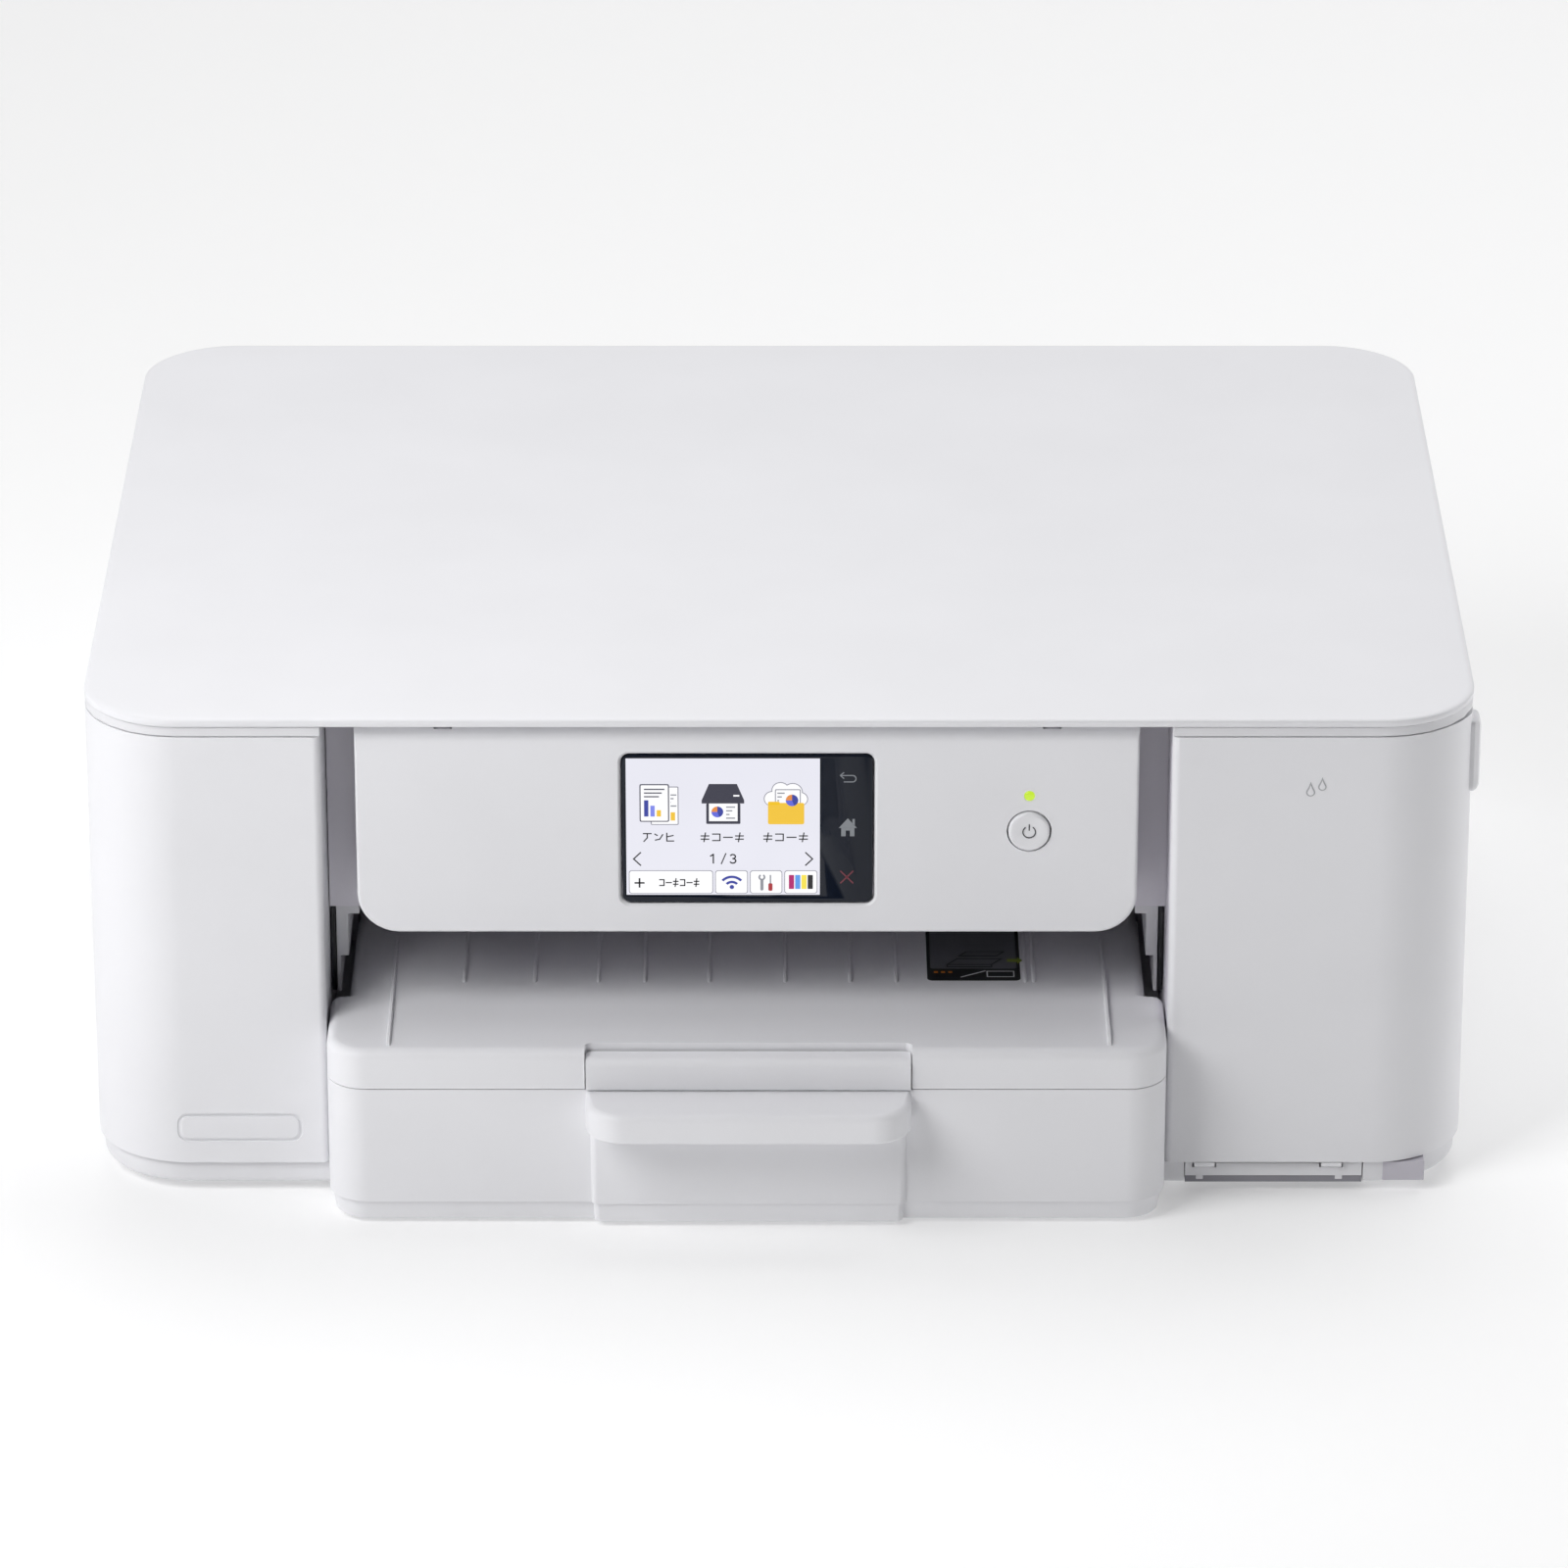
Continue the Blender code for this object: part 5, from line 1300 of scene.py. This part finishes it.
# The bar behind the ink door's knuckles, two small stops below it, and a dark grey strip at the back of the
# recess that is painted shade
bar = box("door_hinge_bar", RECESS_X, (-130.9, -124.5), (5.3, 9.6), BASE)
knuckle_room = [
    box("knuckle_room", span, (-133, -129.1), (8.0, 12)) for span in ((120.5, 127.5), (157.5, 164.5))
]
cut(bar, *knuckle_room)
settle(soften(bar, 0.15, 2), "root", "casing_white")
for i, x in enumerate((121.6, 162.2)):
    stop = box("door_stop_%d" % i, (x, x + 2.1), (-130.95, -127.0), (4.1, 5.5), BASE)
    settle(soften(stop, 0.2, 2), "root", "casing_white")
# Painted shade: a dark grey strip at the back of the recess
recess_shade_strip = box("door_recess_back", RECESS_X, (-130.6, -126.5), (3.1, 5.2), RECESS_SHADE_GREY)
settle(soften(recess_shade_strip, 0.15, 2), "root", "inner_grey")
# A flat block stands proud of the rounded corner beside the recess, its grey painted shade
block = box("corner_block", (176.0, 188.2), (-130.9, -122.0), (3.7, 9.8), INNER_AND_SHADE)
settle(soften(block, 0.3, 2), "root", "inner_grey")

for spot in ("front_left", "front_right", "rear_left", "rear_right"):
    low, high = box_mm("foot_" + spot)
    x, y, r = (low.x + high.x) / 2, (low.y + high.y) / 2, (high.x - low.x) / 2
    profile = [
        (r - 2.2, 0.5),
        (r - 2.0, 0.1),
        (r - 1.4, 0.0),
        (r - 0.6, 0.05),
        (r - 0.15, 0.4),
        (r, 1.0),
        (r, high.z),
    ]
    foot = loft("rubber_foot_" + spot, [place(circle(x, y, q), z) for q, z in profile], FOOT)
    settle(foot, "root", "foot_rubber", "foot_" + spot)

# ---------------------------------------------------------------- print engine


def turned(name, axis, profile, material, steps=40):
    """A body turned about an X axis: profile is (x, radius) pairs from left to right."""
    return loft(name, [place(circle(*axis, radius, steps), x, "X") for x, radius in profile], material)


def roller_profile(x0, x1, radius, edge=0.6):
    half = [(0.0, radius - edge), (edge * 0.5, radius - edge * 0.15), (edge, radius)]
    return [(x0 + x, r) for x, r in half] + [(x1 - x, r) for x, r in reversed(half)]


for node, axis, shaft in (("feed_roller", (46.0, 68.0), 6.0), ("eject_roller", (-22.0, 68.0), 5.0)):
    low, high = box_mm(node)
    coat = [
        turned("coat", axis, roller_profile(x, x + 30, shaft), ROLLER) for x in (-118, -74, -30, 14, 58)
    ]
    rubber = join(coat[0], *coat[1:])
    rubber.name = node + "_rubber_bands"
    settle(rubber, node, "roller_rubber", node)
    ends = [(low.x, 2.1), (low.x + 0.4, 2.5), (BAY_LEFT + 10, 2.5), (BAY_LEFT + 10.2, shaft - 1.2)]
    ends += [(BAY_RIGHT - 10.2, shaft - 1.2), (BAY_RIGHT - 10, 2.5), (high.x - 0.4, 2.5), (high.x, 2.1)]
    settle(turned(node + "_steel_shaft", axis, ends, STEEL), node, "motor_steel")
pick_axis = (120.0, 26.0)
low, high = box_mm("pickup_roller")
tyre_outline = toothed(*pick_axis, 10.6, 11.0, 36)
tyre = prism("pickup_tyre", tyre_outline, (low.x, high.x), "X", ROLLER)
cut(tyre, prism("bore", circle(*pick_axis, 2.4, 32), (low.x - 2, high.x + 2), "X"))
settle(tyre, "pickup_roller", "roller_rubber", "pickup_roller")
refined("pickup_arm", "pickup_arm_moulding", BLACK, "black_plastic", 0.5, 2)

refined("carriage_rail", "carriage_rail_pressing", SHEET, "zinc_sheet", 0.2, 1)
strip = prism("position_strip", rectangle(-121, 183, 104, 108.5, 0.4), (51.4, 51.55), "Y", STRIP_FILM)
settle(strip, "root", "black_plastic")
refined("carriage_belt", "carriage_belt_loop", BELT, "belt_rubber", 0.15, 1)
BELT_LOW, BELT_HIGH = box_mm("carriage_belt")
tooth_low = box(
    "tooth", (-0.45, 0.45), (BELT_LOW.y + 0.1 - 55.5, BELT_HIGH.y - 0.1 - 55.5), (-0.05, 0.55), BELT
)
inside = BELT_LOW.z + 0.9
teeth = repeated(
    "belt_teeth",
    tooth_low,
    (-118, 55.5, inside),
    (2.0, 0, 0),
    149,
    (0, 0, BELT_HIGH.z - 0.9 - inside - 0.5),
    2,
)
settle(teeth, "root", "belt_rubber")
for node in ("drive_pulley", "idler_pulley"):
    low, high = box_mm(node)
    x, z, r = (low.x + high.x) / 2, (low.z + high.z) / 2, (high.z - low.z) / 2
    wheel = toothed(x, z, r - 0.05, r - 0.6, 20, 2)
    pulley = prism(node + "_toothed", wheel, (low.y, high.y), "Y", ACETAL)
    pin_hole = prism("pin_hole", circle(x, z, 1.2, 24), (low.y - 1, low.y + 3), "Y")
    settle(cut(pulley, pin_hole), node, "acetal", node)
for node in ("feed_gear", "eject_gear", "idler_gear", "motor_pinion"):
    low, high = box_mm(node)
    y, z, r = (low.y + high.y) / 2, (low.z + high.z) / 2, (high.z - low.z) / 2
    gear = clean_copy(node, node + "_moulded", ACETAL)
    if r > 8:
        for face_x in (low.x, high.x):
            ring = prism("web", circle(y, z, r - 3.6, 48), (face_x - 1.0, face_x + 1.0), "X")
            cut(ring, prism("hub", circle(y, z, 4.6, 32), (face_x - 2, face_x + 2), "X"))
            cut(gear, ring)
    settle(gear, body_of(node), "acetal", node)
refined("platen", "platen_ribbed", BLACK, "black_plastic", 0.25, 2)

for node, axis, span_axis in (("carriage_motor", "Y", 1), ("feed_motor", "X", 0)):
    low, high = box_mm(node)
    u0, u1 = (low.x, high.x) if span_axis else (low.y, high.y)
    u, w, r = (u0 + u1) / 2, (low.z + high.z) / 2, (high.z - low.z) / 2
    start, end = (low.y, high.y) if span_axis else (low.x, high.x)
    profile = [(start, r - 1.2), (start + 0.3, r - 0.3), (start + 1.2, r), (end - 2.6, r)]
    profile += [(end - 2.4, r - 0.5), (end - 1.0, r - 0.5), (end - 0.6, r - 1.4), (end, r - 1.6)]
    can = loft(
        node + "_can", [place(circle(u, w, radius, 48), level, axis) for level, radius in profile], STEEL
    )
    settle(can, "root", "motor_steel", node)

CAR_LOW, CAR_HIGH = box_mm("print_carriage")
refined("print_carriage", "print_carriage_moulding", BLACK, "black_plastic", 0.9, 3)
damper_x = [CAR_LOW.x + 5 + i * 16 for i in range(4)]
for x, ink in zip(damper_x, INK_CASES):
    damper = box("ink_damper_" + ink, (x, x + 13), (CAR_LOW.y + 6, CAR_HIGH.y - 14), (84.4, 110.5), BLACK)
    settle(soften(damper, 1.0, 3), "print_carriage", "black_plastic")
    tag = prism(
        "damper_tag_" + ink,
        rectangle(x + 2.5, x + 10.5, CAR_LOW.y + 10, CAR_LOW.y + 18, 1.2),
        (110.45, 110.75),
        "Z",
        INK_CASES[ink],
    )
    settle(tag, "print_carriage", "ink_" + ink)
refined("print_head", "print_head_plate", STEEL, "motor_steel", 0.4, 2)

# ---------------------------------------------------------------- ink, electronics and rear sockets

refined("ink_bay", "ink_bay_moulding", BLACK, "black_plastic", 0.5, 2)
for ink, case in INK_CASES.items():
    low, high = box_mm("ink_cartridge_" + ink)
    refined("ink_cartridge_" + ink, "ink_cartridge_%s_case" % ink, case, "ink_" + ink, 0.9, 3)
    middle = (low.x + high.x) / 2
    face = rectangle(middle - 6.2, middle + 6.2, 24, 56, 1.5)
    panel_piece = prism(
        "cartridge_label_" + ink, face, (low.y + 0.05, low.y - 0.12), "Y", LABEL_COLOURS["white"]
    )
    settle(panel_piece, "ink_cartridge_" + ink, "ink_" + ink)
    drop = flat_shapes(
        "cartridge_drop_" + ink, [drop_outline(middle, 38, 2.2)], (low.y - 0.13, low.y - 0.2), "Y", case
    )
    settle(drop, "ink_cartridge_" + ink, "ink_" + ink)

low, high = box_mm("main_board")
board = prism("main_board_laminate", rectangle(20, 140, 20, 108, 1.5), (-194.5, -192.9), "X", BOARD)
settle(board, "root", "circuit_board", "main_board")
chips = [((40, 60), (50, 70)), ((75, 95), (40, 62)), ((105, 125), (70, 95)), ((40, 55), (82, 96))]
for i, (ys, zs) in enumerate(chips):
    chip = box("board_chip_%d" % i, (-193.0, -190.5), ys, zs, BLACK)
    settle(soften(chip, 0.4, 2), "root", "circuit_board")
pins = repeated(
    "board_header_pins",
    box("pin", (-0.3, 6.0), (-0.3, 0.3), (-0.3, 0.3), STEEL),
    (-193.5, 70, 26),
    (0, 2.54, 0),
    22,
    (0, 0, 2.54),
    2,
)
settle(pins, "root", "circuit_board")
parts = repeated(
    "board_small_parts",
    box("part", (0, 1.2), (-1.0, 1.0), (-0.6, 0.6), ACETAL),
    (-193.1, 64, 76),
    (0, 5, 0),
    7,
    (0, 0, 6),
    4,
)
settle(parts, "root", "circuit_board")
refined("power_supply", "power_supply_case", SHEET, "zinc_sheet", 0.8, 2)
PURGE_TOP = box_mm("purge_unit")[1].z
refined("purge_unit", "cap_station", BLACK, "black_plastic", 0.7, 2)
seal = box("cap_seal", (127, 163), (4, 32), (PURGE_TOP - 0.6, PURGE_TOP + 0.9), ROLLER)
cut(seal, box("seal_well", (129, 161), (6, 30), (PURGE_TOP - 2, PURGE_TOP + 3)))
settle(soften(seal, 0.3, 2), "root", "roller_rubber")
FELT_LOW, FELT_HIGH = box_mm("waste_ink_pad")
felt_levels = ((0.8, FELT_LOW.z), (0.2, FELT_LOW.z + 0.8), (0.0, FELT_LOW.z + 2))
felt_levels += ((0.0, FELT_HIGH.z - 2), (0.3, FELT_HIGH.z - 0.7), (1.0, FELT_HIGH.z))
felt_rings = [place(inset_plan(FELT_LOW, FELT_HIGH, inset, 2), z) for inset, z in felt_levels]
felt = loft("waste_ink_felt_block", felt_rings, PAD_FELT)
settle(felt, "root", "foam", "waste_ink_pad")

socket = box(
    "power_inlet_body",
    (INLET_LOW.x, INLET_HIGH.x),
    (INLET_LOW.y, INLET_HIGH.y),
    (INLET_LOW.z, INLET_HIGH.z),
    BLACK,
)
well = rectangle(INLET_LOW.x + 4, INLET_HIGH.x - 4, INLET_LOW.z + 4, INLET_HIGH.z - 4, 5)
cut(socket, prism("inlet_well", well, (INLET_HIGH.y - 14, INLET_HIGH.y + 5), "Y"))
settle(soften(socket, 0.5, 3), "root", "black_plastic", "ac_inlet")
for x in (157.0, 167.0):
    blade = box(
        "inlet_pin_%d" % x, (x - 1, x + 1), (INLET_HIGH.y - 15, INLET_HIGH.y - 4.5), (29, 33), STEEL
    )
    settle(soften(blade, 0.4, 2), "root", "motor_steel")
ports = box(
    "port_block",
    (PORTS_LOW.x, PORTS_HIGH.x),
    (PORTS_LOW.y, PORTS_HIGH.y),
    (PORTS_LOW.z, PORTS_HIGH.z),
    BLACK,
)
cut(ports, box("well", (-165, -153), (158, 180), (24, 34)), box("well", (-149, -139), (158, 180), (24, 34)))
settle(soften(ports, 0.4, 2), "root", "black_plastic", "io_ports")
for i, (x0, x1) in enumerate(((-164.8, -153.2), (-148.8, -139.2))):
    shell = box("port_shell_%d" % i, (x0, x1), (158.2, PORTS_HIGH.y - 0.4), (24.2, 33.8), STEEL)
    cut(shell, box("inside", (x0 + 0.5, x1 - 0.5), (159, 180), (24.7, 33.3)))
    settle(shell, "root", "motor_steel")
    tongue = box(
        "port_tongue_%d" % i,
        (x0 + 2.2, x1 - 2.2),
        (158.5, PORTS_HIGH.y - 1.5),
        (27.6, 30.2),
        LABEL_COLOURS["white"],
    )
    settle(soften(tongue, 0.2, 2), "root", "black_plastic")
    contacts = repeated(
        "port_contacts_%d" % i,
        box("contact", (-0.4, 0.4), (-4.5, 4.5), (0, 0.15), STEEL),
        (x0 + 3.2, 163.5, 30.15),
        (1.6, 0, 0),
        4,
    )
    settle(contacts, "root", "motor_steel")

# ---------------------------------------------------------------- floor, light and camera


def studio_floor():
    """A plain sheet that sweeps up well behind the object."""
    profile = [(-6000, 0), (2200, 0)] + arc(2200, 1500, 1500, 270, 360, 24) + [(3700, 5000)]
    build = bmesh.new()
    rows = [[build.verts.new(Vector((x, y, z)) * MM) for y, z in profile] for x in (-7000, 7000)]
    for i in range(len(profile) - 1):
        build.faces.new((rows[0][i], rows[0][i + 1], rows[1][i + 1], rows[1][i]))
    # Frosted white acrylic with a faint light of its own, so that shadows on it stay pale
    glowing = {"Emission_Color": (1.0, 1.0, 1.0, 1.0), "Emission_Strength": 0.28}
    acrylic = moulded("frosted_white_acrylic", "E0E0E0", 0.9, grain=2.0, depth=0.002, tint=0.002, **glowing)
    floor = to_object("studio_floor", build, acrylic)


def softbox(name, place_mm, aim_mm, size, power):
    """A rectangular light, size in metres and power in watts, turned towards a spot."""
    data = bpy.data.lights.new(name, "AREA")
    data.shape = "RECTANGLE"
    data.size, data.size_y = size
    data.energy = power
    light = bpy.data.objects.new(name, data)
    bpy.context.scene.collection.objects.link(light)
    light.location = Vector(place_mm) * MM
    light.rotation_euler = (Vector(aim_mm) - Vector(place_mm)).to_track_quat("-Z", "Y").to_euler()


studio_floor()
softbox("key_softbox", (-650, -700, 830), (0, -60, 70), (0.58, 0.58), 8.0)
softbox("rear_overhead_softbox", (350, 1100, 2200), (0, 300, 0), (2.4, 1.8), 33)
softbox("left_softbox", (-1500, -100, 500), (-150, 0, 80), (0.9, 0.9), 2.5)
softbox("right_softbox", (1500, 120, 450), (100, 0, 80), (0.9, 0.9), 6.5)
world = bpy.data.worlds.new("white_studio")
bpy.context.scene.world = world
world.use_nodes = True
world.node_tree.nodes["Background"].inputs["Color"].default_value = (0.96, 0.95, 1.0, 1.0)
# The room is dimmer towards the front right, so the casing's front darkens gently across its width
sky = world.node_tree
direction = add_node(sky, "ShaderNodeTexCoord")
inputs = {0: direction.outputs["Generated"], 1: (0.75, -0.65, 0.0)}
facing = add_node(sky, "ShaderNodeVectorMath", inputs, operation="DOT_PRODUCT")
inputs = {
    "Value": facing.outputs["Value"], "From Min": -0.6, "From Max": 0.7, "To Min": 0.19, "To Max": 0.02
}
level = add_node(sky, "ShaderNodeMapRange", inputs)
sky.links.new(level.outputs["Result"], sky.nodes["Background"].inputs["Strength"])

camera_data = bpy.data.cameras.new("studio_camera")
camera_data.lens = 191.03
camera_data.sensor_width = 36.0
camera_data.clip_end = 50.0
camera = bpy.data.objects.new("studio_camera", camera_data)
bpy.context.scene.collection.objects.link(camera)
camera.location = Vector((1.4, -2311, 1082)) * MM
camera.rotation_euler = (math.radians(90 - 23.59), 0.0, 0.0)
bpy.context.scene.camera = camera
bpy.context.scene.view_settings.view_transform = "Standard"
